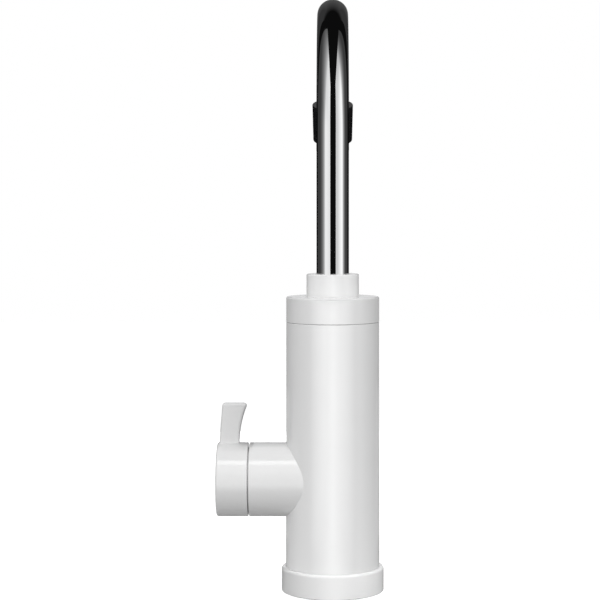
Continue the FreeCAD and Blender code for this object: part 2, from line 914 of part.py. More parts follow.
def switch_screws():
    length = cover_in - 2.0 - switch_back
    one = screw(tiny_screw_r, length, tiny_head_r, tiny_head_t)
    return Part.makeCompound([aim(one, V(switch_back, 0, handle_z + side * switch_hole),
                                  V(-1, 0, 0)) for side in (-1, 1)])


# Heater

def coil_foot():
    return V(coil_r, -coil_bend, 0)


def coil_head():
    end = helix_point(coil_r, 0, 0, coil_turns)
    way = helix_way(coil_r, 0, coil_turns)
    return V(end.x, end.y, 0).add(V(way.x, way.y, 0).multiply(coil_bend))


def coil_edges():
    first = helix_point(coil_r, coil_pitch, coil_low, 0)
    last = helix_point(coil_r, coil_pitch, coil_low, coil_turns)
    leave = helix_way(coil_r, coil_pitch, 0)
    arrive = helix_way(coil_r, coil_pitch, coil_turns)
    flat = math.hypot(leave.x, leave.y)
    reach = coil_bend / flat
    foot_corner = first.sub(V(leave).multiply(reach))
    head_corner = last.add(V(arrive).multiply(reach))
    into = foot_corner.sub(V(0, 0, reach))
    out = head_corner.add(V(0, 0, reach))
    start = V(into.x, into.y, chamber_low - coil_stub)
    end = V(out.x, out.y, lid_top + coil_stub)
    edges = [Part.makeLine(start, into), arc_from(into, V(0, 0, 1), first)]
    edges += helix_arcs(coil_r, coil_pitch, coil_low, coil_turns)
    edges += [arc_from(last, arrive, out), Part.makeLine(out, end)]
    return edges, start


def heating_coil():
    edges, start = coil_edges()
    print_self_gap("heating coil", edges, coil_wire)
    return sweep(edges, coil_wire, start, V(0, 0, 1))


def coil_bushes():
    low = coil_foot()
    high = coil_head()
    inner = coil_wire + slip
    hole = coil_wire + bush_t
    first = pipe(hole - slip, inner, chamber_low, chamber_in, low.x, low.y)
    second = pipe(hole - slip, inner, lid_low, lid_top, high.x, high.y)
    return Part.makeCompound([first, second])


def coil_terminals():
    low = coil_foot()
    high = coil_head()
    down = chamber_low - coil_stub
    up = lid_top + coil_stub
    first = post(terminal_pin_r, down - terminal_stub, down, low.x, low.y)
    second = post(terminal_pin_r, up, up + terminal_stub, high.x, high.y)
    return Part.makeCompound([first, second])


def ear_spots():
    return [around(ear_ring, angle) for angle in (45, 135, 225, 315)]


def chamber_leg_spots():
    return [around(leg_ring, angle) for angle in (0, 90, 270)]


def heating_chamber():
    tank = post(chamber_r, chamber_low, chamber_rim)
    for x, y in ear_spots():
        tank = tank.fuse(post(ear_r, chamber_rim - lid_screw_len, chamber_rim, x, y))
    tank = tank.cut(post(chamber_bore_r, chamber_in, chamber_rim + over))
    socket = chamber_low + transfer_bite + loose
    tank = tank.fuse(post(transfer_r + transfer_wall, chamber_low, socket + transfer_wall))
    for x, y in chamber_leg_spots():
        tank = tank.fuse(post(leg_r, block_top, chamber_low + over, x, y))
    foot = coil_foot()
    tools = [post(transfer_bore_r, chamber_low - over, socket)]
    tools.append(post(passage_r, chamber_low, socket + 2 * transfer_wall))
    tools.append(post(coil_wire + bush_t, chamber_low - over, chamber_in + over, foot.x, foot.y))
    for x, y in ear_spots():
        tools.append(post(small_screw_r + slip, chamber_rim - lid_screw_len + 1.5,
                          chamber_rim + over, x, y))
    for x, y in cutout_screw_spots():
        tools.append(post(tiny_screw_r + slip, chamber_low - over, chamber_low + cutout_ear, x, y))
    return cut_all(tank.removeSplitter(), tools)


def chamber_gasket():
    seal = post(chamber_r, chamber_rim, lid_low)
    tools = [post(chamber_bore_r, chamber_rim - over, lid_low + over)]
    for x, y in ear_spots():
        seal = seal.fuse(post(ear_r, chamber_rim, lid_low, x, y))
        tools.append(post(small_screw_r + screw_gap, chamber_rim - over, lid_low + over, x, y))
    return cut_all(seal.removeSplitter(), tools)


def chamber_lid():
    lid = post(chamber_r, lid_low, lid_top)
    for x, y in ear_spots():
        lid = lid.fuse(post(ear_r, lid_low, lid_top, x, y))
    lid = lid.fuse([post(neck_stem_r, lid_low, neck_top), post(neck_r, neck_cup, neck_top)])
    head = coil_head()
    tools = [post(neck_bore_r, tube_foot - loose, neck_top + over)]
    tools.append(post(neck_water_r, lid_low - over, tube_foot))
    tools.append(post(coil_wire + bush_t, lid_low - over, lid_top + over, head.x, head.y))
    for x, y in ear_spots():
        tools.append(post(small_screw_r + screw_gap, lid_low - over, lid_top + over, x, y))
    return cut_all(lid.removeSplitter(), tools)


def lid_screws():
    length = lid_t + chamber_gasket_t + lid_screw_len - 2.5
    one = screw(small_screw_r, length, small_head_r, small_head_t)
    return Part.makeCompound([aim(one, V(x, y, lid_top), V(0, 0, 1)) for x, y in ear_spots()])


def transfer_span():
    return block_top - transfer_bite, chamber_low + transfer_bite


def transfer_tube():
    low, top = transfer_span()
    tube = pipe(transfer_r, passage_r, low, top)
    half = groove_half(transfer_bore_r, transfer_groove_r)
    tools = []
    for z in (low + transfer_bite / 2, top - transfer_bite / 2):
        tools.append(pipe(transfer_r + over, transfer_groove_r, z - half, z + half))
    return cut_all(tube, tools)


def transfer_rings():
    low, top = transfer_span()
    rings = []
    for z in (low + transfer_bite / 2, top - transfer_bite / 2):
        rings.append(o_ring(transfer_bore_r, transfer_groove_r, V(0, 0, z), V(0, 0, 1)))
    return Part.makeCompound(rings)


def cutout_screw_spots():
    return [(cutout_x, side * (cutout_r + 2 * tiny_screw_r)) for side in (-1, 1)]


def thermal_cutout():
    body = post(cutout_r, cutout_low + cutout_step, chamber_low, cutout_x)
    body = body.fuse(post(cutout_r - cutout_crown, cutout_low, chamber_low, cutout_x))
    wide = blade_len / 2
    for side in (-1, 1):
        y = cutout_tag_y * side
        tag = box(cutout_x - wide, cutout_x + wide, y - blade_t / 2, y + blade_t / 2,
                  cutout_low - blade_len, cutout_low + over)
        body = body.fuse(tag)
    return body.removeSplitter()


def cutout_bracket():
    seat = cutout_low + cutout_step
    low = seat - bracket_t
    plate = post(cutout_r, low, seat, cutout_x)
    for x, y in cutout_screw_spots():
        plate = plate.fuse(post(cutout_ear, low, chamber_low, x, y))
    plate = plate.cut(post(cutout_r - cutout_crown + slip, low - over, seat + over, cutout_x))
    plate = plate.cut(post(cutout_r + slip, seat, chamber_low + over, cutout_x))
    tools = [post(tiny_screw_r + slip, low - over, chamber_low + over, x, y)
             for x, y in cutout_screw_spots()]
    return cut_all(plate.removeSplitter(), tools)


def cutout_screws():
    low = cutout_low + cutout_step - bracket_t
    one = screw(tiny_screw_r, chamber_low + 2 * tiny_screw_r - low, tiny_head_r, tiny_head_t)
    spots = cutout_screw_spots()
    return Part.makeCompound([aim(one, V(x, y, low), V(0, 0, -1)) for x, y in spots])


# Wiring

def terminal_spots():
    return [(terminal_pitch * i, terminal_y() + terminal_t / 2) for i in (-1, 0, 1)]


def terminal_y():
    return shank_y + column_r + terminal_gap


def terminal_block():
    near = terminal_y()
    far = near + terminal_t
    low = block_low - terminal_h
    body = box(-terminal_w / 2, terminal_w / 2, near, far, low, block_low)
    tools = []
    for x, y in terminal_spots():
        tools.append(post(wire_hole_r, low - over, low + wire_hole_len, x, y))
        tools.append(Part.makeCylinder(tiny_head_r + slip, far - y + over,
                                       V(x, y, low + wire_hole_len / 2), V(0, 1, 0)))
    return cut_all(body, tools)


def terminal_screws():
    far = terminal_y() + terminal_t
    low = block_low - terminal_h
    one = screw(wire_screw_r, 2 * wire_screw_r, tiny_head_r, wire_screw_r)
    seat = far - wire_screw_r - loose
    return Part.makeCompound([aim(one, V(x, seat, low + wire_hole_len / 2), V(0, 1, 0))
                              for x, y in terminal_spots()])


def switch_blades():
    x = (switch_face + switch_back) / 2
    return x, switch_w / 4, handle_z - switch_h / 2 - blade_len


def lead_z():
    return cutout_low - 1.8


def supply_leads():
    side = -terminal_w / 2
    low = block_low - terminal_h
    x, y, blade = switch_blades()
    near = V(side, terminal_y() + 2.4, low + 3.4)
    live = [near, V(x, near.y, near.z), V(x, -y, near.z), V(x, -y, blade)]
    up_x, up_y = around(shell_r - chamber_room / 2, lead_angle)
    in_x, in_y = around(coil_r + coil_wire + 0.6, lead_angle)
    over_lid = lid_top + 0.7 * lid_room
    head = coil_head()
    end = V(head.x, head.y + 2.0, lid_top + coil_stub + terminal_stub / 2)
    neutral = [V(side, up_y, low + 7.4), V(up_x, up_y, low + 7.4), V(up_x, up_y, over_lid)]
    neutral += [V(in_x, in_y, over_lid), end]
    return Part.makeCompound([lead(live), lead(neutral)])


def heater_leads():
    x, y, blade = switch_blades()
    out = y + 6.3
    drop = blade - 5.6
    z = lead_z()
    tag = cutout_tag_y + 0.4
    first = [V(x, y, blade), V(x, y, drop), V(x, out, drop), V(x, out, z)]
    first += [V(cutout_x, out, z), V(cutout_x, tag, z)]
    foot = coil_foot()
    way = leg_ring - leg_r - 2.0
    second = [V(cutout_x, -tag, z), V(cutout_x, -way, z), V(foot.x, -way, z)]
    second.append(V(foot.x, foot.y - 1.65, z))
    return Part.makeCompound([lead(first), lead(second)])


# Spout

def spout_tube():
    ring = Part.Face([Part.Wire(Part.Circle(V(0, 0, arch_z), V(0, 0, 1), r).toShape())
                      for r in (tube_r, tube_bore_r)])
    arch = ring.revolve(V(0, -arch_r, arch_z), V(1, 0, 0), arch_sweep)
    tail = aim(pipe(tube_r, tube_bore_r, 0, tube_tail), outlet_point(), outlet_way())
    riser = pipe(tube_r, tube_bore_r, tube_foot, arch_z)
    groove = pipe(tube_r + over, tube_r - clip_bite, clip_z - seal_slack,
                  clip_z + clip_t + seal_slack)
    return riser.fuse([arch, tail]).removeSplitter().cut(groove)


def outlet_point():
    turn = math.radians(arch_sweep)
    return V(0, arch_r * (math.cos(turn) - 1), arch_z + arch_r * math.sin(turn))


def outlet_way():
    turn = math.radians(arch_sweep)
    return V(0, -math.sin(turn), math.cos(turn))


def swivel_groove_spots():
    return tube_foot + 0.3 * swivel_len, tube_foot + 0.7 * swivel_len


def swivel_bush():
    bush = pipe(swivel_r, tube_r + 0.02, tube_foot, neck_top - loose)
    half = groove_half(neck_bore_r, swivel_groove_r)
    tools = [pipe(swivel_r + over, swivel_groove_r, z - half, z + half)
             for z in swivel_groove_spots()]
    return cut_all(bush, tools)


def spout_rings():
    return Part.makeCompound([o_ring(neck_bore_r, swivel_groove_r, V(0, 0, z), V(0, 0, 1))
                              for z in swivel_groove_spots()])


def retaining_ring():
    outer = neck_r - 0.4
    clip = pipe(outer, tube_r - clip_bite + 0.02, clip_z, clip_z + clip_t)
    return clip.cut(box(-2.5, 2.5, 0, outer + over, clip_z - over, clip_z + clip_t + over))


def nozzle_bore_r():
    return nozzle_d / 2 - nozzle_taper - nozzle_wall


def nozzle_housing():
    top_r = nozzle_d / 2
    end_r = top_r - nozzle_taper
    bore = nozzle_bore_r()
    outline = [(tube_r + slip, 0), (top_r, 0), (end_r, nozzle_len), (bore, nozzle_len)]
    outline += [(bore, tube_tail), (tube_r + slip, tube_tail)]
    shell = round_at_z(lathe(outline), nozzle_rim, top_r, 0)
    shell = round_at_z(shell, nozzle_round, end_r, nozzle_len)
    return aim(shell, outlet_point(), outlet_way())


def nozzle_seal():
    ring = pipe(nozzle_bore_r() - slip, tube_bore_r, tube_tail, tube_tail + nozzle_seal_t)
    return aim(ring, outlet_point(), outlet_way())


def aerator_insert():
    r = nozzle_bore_r() - slip
    low = tube_tail + nozzle_seal_t
    end = low + aerator_len
    top = post(r, low, low + aerator_plate)
    top = cut_all(top, [post(0.9, low - over, low + 2 * over + aerator_plate, *around(5.4, 30 * i))
                        for i in range(12)])
    grid = post(r - 1.0, end - aerator_plate, end)
    grid = cut_all(grid, holes_in_disc(r - 1.2, 2.3, 0.9, end - aerator_plate, end))
    wall = pipe(r, r - 1.4, low, end)
    return aim(top.fuse([wall, grid]).removeSplitter(), outlet_point(), outlet_way())


def aerator_screen():
    r = nozzle_bore_r() - 1.4 - 2 * slip
    z = tube_tail + nozzle_seal_t + aerator_len / 2
    mesh = cut_all(post(r, z, z + 0.6), holes_in_disc(r - 0.4, 1.7, 0.6, z, z + 0.6))
    return aim(mesh, outlet_point(), outlet_way())


pieces = [
    base_cup, deck_gasket, base_screws, inlet_shank, shank_ring, inlet_strainer, cable_bush,
    clamp_pad, clamp_washer, lock_nut, body_shell, top_cap, spout_collar,
    valve_block, disc_seal, fixed_disc, moving_disc, cartridge_body, cartridge_ring,
    valve_stem, stem_ring, stem_clip, gland_nut, handle, handle_screw, screw_cap,
    diaphragm, switch_cover, cover_screws, flow_plunger, plunger_spring,
    micro_switch, switch_button, switch_screws,
    heating_coil, coil_bushes, coil_terminals, heating_chamber, chamber_gasket, chamber_lid,
    lid_screws, transfer_tube, transfer_rings, thermal_cutout, cutout_bracket, cutout_screws,
    terminal_block, terminal_screws, supply_leads, heater_leads,
    spout_tube, swivel_bush, spout_rings, retaining_ring,
    nozzle_housing, nozzle_seal, aerator_insert, aerator_screen,
]

os.makedirs("parts", exist_ok=True)
for piece in pieces:
    piece().exportStep("parts/" + piece.__name__ + ".step")
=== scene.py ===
import math

import bmesh
import bpy
from bpy.props import FloatProperty, FloatVectorProperty, IntProperty, PointerProperty
from mathutils import Matrix, Vector


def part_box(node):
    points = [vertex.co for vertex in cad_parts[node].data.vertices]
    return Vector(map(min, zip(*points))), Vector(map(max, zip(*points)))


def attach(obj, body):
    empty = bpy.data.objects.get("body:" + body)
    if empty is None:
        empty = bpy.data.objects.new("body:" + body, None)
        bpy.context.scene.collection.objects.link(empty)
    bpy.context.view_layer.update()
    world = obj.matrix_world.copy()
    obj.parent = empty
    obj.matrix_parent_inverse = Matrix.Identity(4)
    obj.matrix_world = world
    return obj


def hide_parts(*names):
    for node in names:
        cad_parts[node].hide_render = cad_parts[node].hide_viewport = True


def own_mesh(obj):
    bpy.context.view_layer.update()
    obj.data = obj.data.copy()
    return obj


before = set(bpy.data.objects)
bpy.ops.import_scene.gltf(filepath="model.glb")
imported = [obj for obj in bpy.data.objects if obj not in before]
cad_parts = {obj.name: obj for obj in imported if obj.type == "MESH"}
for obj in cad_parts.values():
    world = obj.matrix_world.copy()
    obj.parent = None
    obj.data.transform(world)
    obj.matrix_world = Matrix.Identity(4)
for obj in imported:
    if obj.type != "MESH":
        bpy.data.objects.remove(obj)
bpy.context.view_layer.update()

bl_info = {
    "name": "Instant hot water tap",
    "version": (1, 0, 0),
    "blender": (4, 5, 0),
    "location": "View3D > Sidebar > Tap",
    "description": "Dresses the frame of an electric tap and sets up its studio",
    "category": "Object",
}


# Fits and fine details of the pieces, in metres

SLIDE_FIT = 0.00008
PLUG_FIT = 0.00005
FINE_ROUND = 0.0002
HOLE_ROUND = 0.0003
PLATE = 0.003
CUT_OVER = 0.001
MERGE_DISTANCE = 0.0000005

RING_STEP = 0.001
RING_MARGIN = 0.002
STUB_BORE_START = 0.002
STUB_START = 0.004
STUB_SEAT = 0.0004
SHOULDER_GAP = 0.0003
CARTRIDGE_GAP = 0.0002

GASKET_WIDTH = 0.002
GASKET_GAP = 0.0001
SHANK_HOLE = 0.01166
BUSH_HOLE = 0.0049
HOLE_TOP = 0.005
SCREW_HEAD = 0.0029
SCREW_SEAT_R = 0.0032
SCREW_SEAT_TOP = 0.002
SCREW_HOLE = 0.0017

CAP_HOLE = 0.01358
CAP_LEDGE = 0.0005
CAP_LIP_GAP = 0.0001
CAP_LIP_WALL = 0.002
CAP_LIP_SLOPE = 0.002
COLLAR_BORE = 0.01336

HUB_R = 0.0075
HUB_START = 0.0079
HUB_BORE = 0.00408
LEVER_TIP_BAND = 0.00001
LEVER_SEAT_BAND = 0.0001

# Shares and counts of the pieces, and angles in radians

LEVER_FOOT = 0.8
LEVER_SEAT = 0.7
LEVER_STEPS = 12
RISER_RINGS = (0.1, 0.8, 0.1)
HOLE_STEPS = 64
SCREW_STEPS = 48
WIRE_STEPS = 12
ROUND_STEPS = 8
SIDE_STEPS = 6
SMOOTH_BELOW = math.radians(35)
SHARP_OVER = math.radians(50)

# Finishes and studio

BROAD_SCALE = 40
BROAD_DETAIL = 2.0
FINE_DETAIL = 4.0
RELIEF_STRENGTH = 0.35
FLOOR_TONE = (0.44, 0.44, 0.44, 1)
FLOOR_ROUGH = 0.9
FLOOR_LIFT = 0.75
FLOOR_HALF = 3.0
CARD_TINT = (0.985, 0.99, 1, 1)
WHITE = (1, 1, 1, 1)
CLOTH_GAP = 0.0002
PANEL_BOTTOM = -0.04
PANEL_SPREAD = (0.37, 0.74)
PANEL_FRONT = (0.02, 0.27)
WALL_HEIGHTS = (0.36, 1.25)
WALL_SIDE = 0.3
SENSOR = 36
VIEW_END = 20

HANDLE_PIECES = ("valve_stub", "handle_knob", "handle_lever", "screw_plug")
KNOB_PIECES = ("valve_stub", "handle_knob")
DECK_METAL = ("inlet_shank", "lock_nut", "clamp_washer", "base_screws")


def size(value):
    """A length of the frame, to a hundredth of a millimetre."""
    return round(value, 5)


def low(node):
    """Lower corner of a node's box."""
    return Vector([size(value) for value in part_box(node)[0]])


def high(node):
    """Upper corner of a node's box."""
    return Vector([size(value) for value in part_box(node)[1]])


def length(name, text, default):
    return FloatProperty(name=name, description=text, default=default, min=0.0, unit="LENGTH",
                         precision=5)


def colour(name, text, default):
    return FloatVectorProperty(name=name, description=text, default=default, size=3, min=0.0,
                               max=1.0, subtype="COLOR")


def watts(name, text, default):
    return FloatProperty(name=name, description=text, default=default, min=0.0, unit="POWER")


def amount(name, text, default):
    return FloatProperty(name=name, description=text, default=default, min=0.0)


class TapSizes(bpy.types.PropertyGroup):
    """Sizes of the visible pieces, in metres."""

    body_r: length("Body radius", "Radius of the white body", high("top_cap").x)
    body_wall: length("Body wall", "Thickness of the white walls", 0.0025)
    seam_z: length("Seam height", "Height of the line under the cap", high("body_shell").z)
    seam_bevel: length("Seam bevel", "Width of the bevel on each side of the seam", 0.00035)
    seam_slit: length("Seam slit", "Open width of the seam under the cap", 0.00016)
    cap_round: length("Cap edge", "Radius of the cap's upper edge", 0.0011)
    collar_round: length("Collar edge", "Radius of the collar's upper edge", 0.0009)
    base_round: length("Base edge", "Radius of the base ring's upper edge", 0.0016)
    base_foot: length("Base foot", "Radius of the base ring's lower edge", 0.0008)
    base_lift: length("Base lift", "How far the gasket stands out under the base ring", 0.0005)
    knob_gap: length("Knob gap", "Gap between the side stub and the knob", 0.0007)
    shoulder_len: length("Shoulder", "Length of the stub's shoulder inside the knob", 0.002)
    shoulder_wall: length("Shoulder wall", "Wall of the stub's shoulder", 0.0016)
    knob_round: length("Knob edge", "Radius of the knob's outer edge", 0.0013)
    edge_round: length("Fine edge", "Radius of the fine edges beside gaps", 0.00045)
    knob_wall: length("Knob wall", "Thickness of the knob's skirt", 0.0028)
    knob_end: length("Knob end", "Thickness of the knob's end", 0.0045)
    lever_w: length("Lever width", "Width of the lever at its root", 0.0123)
    lever_inset: length("Lever inset", "Step from the knob's end to the lever", 0.0009)
    lever_lean: length("Lever lean", "How far the lever's outer face leans in", 0.0022)
    lever_flare: length("Lever flare", "How far the lever's inner face sweeps out", 0.005)
    lever_t: length("Lever thickness", "Thickness of the lever at its root", 0.0064)
    lever_tip_t: length("Lever tip", "Thickness of the lever at its tip", 0.0058)
    lever_corner: length("Lever corner", "Radius of the lever's upper corners", 0.0018)
    lever_round: length("Lever edge", "Radius of the lever's edges", 0.0016)
    tube_r: length("Spout radius", "Radius of the chrome spout", high("spout_tube").x)
    tube_wall: length("Spout wall", "Wall of the chrome spout", 0.001)
    arch_r: length("Arch radius", "Radius of the arch at the middle of the tube", 0.08)
    arch_sweep: FloatProperty(name="Arch sweep", description="Turn of the arch",
                              default=math.radians(160), subtype="ANGLE")
    tube_tail: length("Spout tail", "Straight end of the spout in the nozzle", 0.006)
    nozzle_r: length("Nozzle radius", "Radius of the nozzle at its top", 0.01375)
    nozzle_taper: length("Nozzle taper", "How much the nozzle narrows", 0.0005)
    nozzle_len: length("Nozzle length", "Length of the nozzle", 0.0255)
    nozzle_wall: length("Nozzle wall", "Wall of the nozzle", 0.0019)
    nozzle_rim: length("Nozzle rim", "Radius of the nozzle's upper edge", 0.00035)
    nozzle_round: length("Nozzle edge", "Radius of the nozzle's lower edge", 0.0009)
    spring_wire: length("Spring wire", "Radius of the plunger spring's wire", 0.0003)
    plunger_way: length("Plunger way", "How far the plunger slides", 0.0012)
    spring_turns: IntProperty(name="Spring turns", description="Turns of the plunger spring",
                              default=3, min=1)
    spring_steps: IntProperty(name="Spring steps", description="Faces in each turn of the spring",
                              default=32, min=12)
    turn_steps: IntProperty(name="Round steps", description="Faces round a full turn",
                            default=160, min=24)


class TapColours(bpy.types.PropertyGroup):
    """Colours of the finishes."""

    white: colour("White", "Glossy white plastic", (0.80, 0.80, 0.80))
    black: colour("Black", "Glossy black plastic", (0.012, 0.012, 0.013))
    chrome: colour("Chrome", "Chrome of the spout", (0.94, 0.94, 0.935))
    brass: colour("Brass", "Turned brass", (0.72, 0.52, 0.24))
    steel: colour("Steel", "Zinc plated steel", (0.62, 0.63, 0.65))
    stainless: colour("Stainless", "Stainless steel", (0.58, 0.57, 0.55))
    rubber: colour("Rubber", "Black rubber", (0.02, 0.02, 0.021))
    ceramic: colour("Ceramic", "Pale ceramic", (0.78, 0.76, 0.70))
    pale_plastic: colour("Pale plastic", "Matte white plastic", (0.74, 0.73, 0.70))
    grey_plastic: colour("Grey plastic", "Matte grey plastic", (0.10, 0.10, 0.105))
    sheath: colour("Sheath", "Sheath of the heating coil", (0.24, 0.21, 0.19))
    red: colour("Red", "Red plastic of the switch button", (0.45, 0.03, 0.02))
    brown: colour("Brown", "Brown sleeve of a lead", (0.13, 0.05, 0.02))
    blue: colour("Blue", "Blue sleeve of a lead", (0.02, 0.07, 0.30))


class TapStudio(bpy.types.PropertyGroup):
    """Camera and light."""

    camera_y: length("Camera distance", "Distance of the camera behind the tap", 1.05)
    camera_z: length("Camera height", "Height of the camera over the deck", 0.2305)
    lens: FloatProperty(name="Lens", description="Focal length", default=106.7, unit="CAMERA")
    shift_x: FloatProperty(name="Shift across", description="Camera shift", default=-0.0545)
    shift_y: FloatProperty(name="Shift up", description="Camera shift", default=-0.1667)
    floor_gap: length("Floor gap", "Room between the shank and the floor", 0.0006)
    key: watts("Key light", "Power of the large front light", 9.0)
    top: watts("Top light", "Power of the overhead light", 0.8)
    side: watts("Side lights", "Power of each side light", 0.042)
    handle: watts("Handle light", "Power of the handle's own light", 8.8)
    base: watts("Base light", "Power of the base ring's own light", 2.2)
    back: watts("Back light", "Power of the light on the far side", 4.0)
    collar: watts("Collar lights", "Power of each of the collar's own lights", 2.0)
    metal: amount("Metal strips", "Brightness of the strips in the metal under the deck", 1.5)
    front: amount("Front strips", "Brightness of the strip in the body's gloss", 4.8)
    band: amount("Band strip", "Brightness of the band in the handle's gloss", 3.0)
    stub: amount("Stub strip", "Brightness of the wide strip in the handle's gloss", 1.8)
    rim: amount("Rim strips", "Brightness of the strips in the body's edges", 0.2)
    ring: amount("Ring strip", "Brightness of the strip in the base ring's edge", 1.2)
    nozzle: amount("Nozzle strip", "Brightness of the strip in the nozzle's top", 0.17)
    ambient: amount("Ambient", "Level of the light from all round", 0.62)


def sizes():
    return bpy.context.scene.tap_sizes


def colours():
    return bpy.context.scene.tap_colours


def studio():
    return bpy.context.scene.tap_studio


# Nodes of the materials

def blank(name):
    material = bpy.data.materials.new(name)
    material.use_nodes = True
    return material, material.node_tree.nodes, material.node_tree.links


def noise(nodes, links, scale, detail, stretch=(1, 1, 1)):
    where = nodes.new("ShaderNodeTexCoord")
    turn = nodes.new("ShaderNodeMapping")
    turn.inputs["Scale"].default_value = stretch
    links.new(where.outputs["Object"], turn.inputs["Vector"])
    grain = nodes.new("ShaderNodeTexNoise")
    grain.inputs["Scale"].default_value = scale
    grain.inputs["Detail"].default_value = detail
    links.new(turn.outputs["Vector"], grain.inputs["Vector"])
    return grain.outputs["Fac"]


def span(nodes, links, source, start, end, first=0.3, last=0.7):
    """Runs from start to end while the source runs from first to last."""
    ramp = nodes.new("ShaderNodeMapRange")
    ramp.inputs["From Min"].default_value = first
    ramp.inputs["From Max"].default_value = last
    ramp.inputs["To Min"].default_value = start
    ramp.inputs["To Max"].default_value = end
    links.new(source, ramp.inputs["Value"])
    return ramp.outputs["Result"]


def maths(nodes, links, operation, first, second=0.0):
    """One step of arithmetic: a float is set on its socket, anything else is linked to it."""
    step = nodes.new("ShaderNodeMath")
    step.operation = operation
    for socket, value in zip(step.inputs, (first, second)):
        if isinstance(value, float):
            socket.default_value = value
        else:
            links.new(value, socket)
    return step.outputs[0]


def across(nodes, links, axis):
    """Place along one axis of the studio."""
    where = nodes.new("ShaderNodeTexCoord")
    split = nodes.new("ShaderNodeSeparateXYZ")
    links.new(where.outputs["Object"], split.inputs[0])
    return split.outputs[axis]


def two_tone(nodes, links, source, first, second):
    mix = nodes.new("ShaderNodeMix")
    mix.data_type = "RGBA"
    mix.inputs["A"].default_value = (*first, 1)
    mix.inputs["B"].default_value = (*second, 1)
    links.new(span(nodes, links, source, 0, 1), mix.inputs["Factor"])
    return mix.outputs["Result"]


def relief(nodes, links, source, depth):
    bump = nodes.new("ShaderNodeBump")
    bump.inputs["Strength"].default_value = RELIEF_STRENGTH
    bump.inputs["Distance"].default_value = depth
    links.new(source, bump.inputs["Height"])
    return bump.outputs["Normal"]


# Finishes of the pieces

def finish(name, tint, drift, rough, grain, depth, metallic=0.0, stretch=(1, 1, 1)):
    """A finish whose colour drifts, whose gloss varies and whose surface has a fine grain."""
    material, nodes, links = blank(name)
    shader = nodes["Principled BSDF"]
    shader.inputs["Metallic"].default_value = metallic
    broad = noise(nodes, links, BROAD_SCALE, BROAD_DETAIL)
    fine = noise(nodes, links, grain, FINE_DETAIL, stretch)
    second = [max(0.0, value * (1 - drift)) for value in tint]
    links.new(two_tone(nodes, links, broad, tint, second), shader.inputs["Base Color"])
    links.new(span(nodes, links, fine, *rough), shader.inputs["Roughness"])
    links.new(relief(nodes, links, fine, depth), shader.inputs["Normal"])
    return material


def white_gloss():
    return finish("white_gloss", colours().white, drift=0.015, rough=(0.09, 0.13), grain=900,
                  depth=0.000003)


def black_gloss():
    return finish("black_gloss", colours().black, drift=0.25, rough=(0.14, 0.22), grain=900,
                  depth=0.000002)


def chrome():
    return finish("chrome", colours().chrome, drift=0.02, rough=(0.02, 0.05), grain=350,
                  depth=0.0000004, metallic=1.0)


def brass():
    return finish("brass", colours().brass, drift=0.16, rough=(0.22, 0.38), grain=800,
                  depth=0.00002, metallic=1.0, stretch=(1, 1, 12))


def steel():
    return finish("steel", colours().steel, drift=0.12, rough=(0.28, 0.45), grain=700,
                  depth=0.00002, metallic=1.0)


def stainless():
    return finish("stainless", colours().stainless, drift=0.1, rough=(0.2, 0.36), grain=900,
                  depth=0.00001, metallic=1.0, stretch=(1, 1, 20))


def rubber():
    return finish("rubber", colours().rubber, drift=0.3, rough=(0.6, 0.8), grain=1500,
                  depth=0.00006)


def ceramic():
    return finish("ceramic", colours().ceramic, drift=0.05, rough=(0.25, 0.4), grain=1200,
                  depth=0.00001)


def white_matte():
    return finish("white_matte", colours().pale_plastic, drift=0.05, rough=(0.4, 0.55), grain=1400,
                  depth=0.00002)


def grey_matte():
    return finish("grey_matte", colours().grey_plastic, drift=0.2, rough=(0.38, 0.52), grain=1400,
                  depth=0.00003)


def heater_sheath():
    return finish("heater_sheath", colours().sheath, drift=0.35, rough=(0.35, 0.6), grain=900,
                  depth=0.00002, metallic=1.0)


def button_red():
    return finish("button_red", colours().red, drift=0.1, rough=(0.3, 0.42), grain=1200,
                  depth=0.00001)


def lead_brown():
    return finish("lead_brown", colours().brown, drift=0.15, rough=(0.4, 0.55), grain=1500,
                  depth=0.00002)


def lead_blue():
    return finish("lead_blue", colours().blue, drift=0.15, rough=(0.4, 0.55), grain=1500,
                  depth=0.00002)


makers = (white_gloss, black_gloss, chrome, brass, steel, stainless, rubber, ceramic,
          white_matte, grey_matte, heater_sheath, button_red, lead_brown, lead_blue)
coats = {}


def coat(name):
    """The finish of that name, made once."""
    if name not in coats:
        coats[name] = {maker.__name__: maker for maker in makers}[name]()
    return coats[name]


# Shapes

def rounded(shape, parts, radius, steps, affect):
    bmesh.ops.bevel(shape, geom=parts, offset=radius, offset_type="OFFSET", segments=steps,
                    profile=0.5, affect=affect, material=-1)


def outline(points, rounds=()):
    """A closed outline of (radius, height) points with some corners rounded."""
    shape = bmesh.new()
    corners = [shape.verts.new((r, 0, z)) for r, z in points]
    for i, corner in enumerate(corners):
        shape.edges.new((corners[i - 1], corner))
    for i, radius in rounds:
        rounded(shape, [corners[i]], radius, ROUND_STEPS, "VERTICES")
    return shape


def turned(points, rounds=(), steps=None):
    """A ring turned on the z axis from a closed outline."""
    shape = outline(points, rounds)
    bmesh.ops.spin(shape, geom=shape.verts[:] + shape.edges[:], cent=(0, 0, 0), axis=(0, 0, 1),
                   angle=math.tau, steps=steps or sizes().turn_steps, use_merge=True)
    return tidy(shape)


def tidy(shape):
    """The shape with doubles merged and its faces outwards."""
    bmesh.ops.remove_doubles(shape, verts=shape.verts, dist=MERGE_DISTANCE)
    bmesh.ops.dissolve_degenerate(shape, edges=shape.edges, dist=MERGE_DISTANCE)
    bmesh.ops.recalc_face_normals(shape, faces=shape.faces)
    return shape


def closed(shape):
    """The shape with its open ends filled."""
    bmesh.ops.holes_fill(shape, edges=[edge for edge in shape.edges if edge.is_boundary])
    return shape


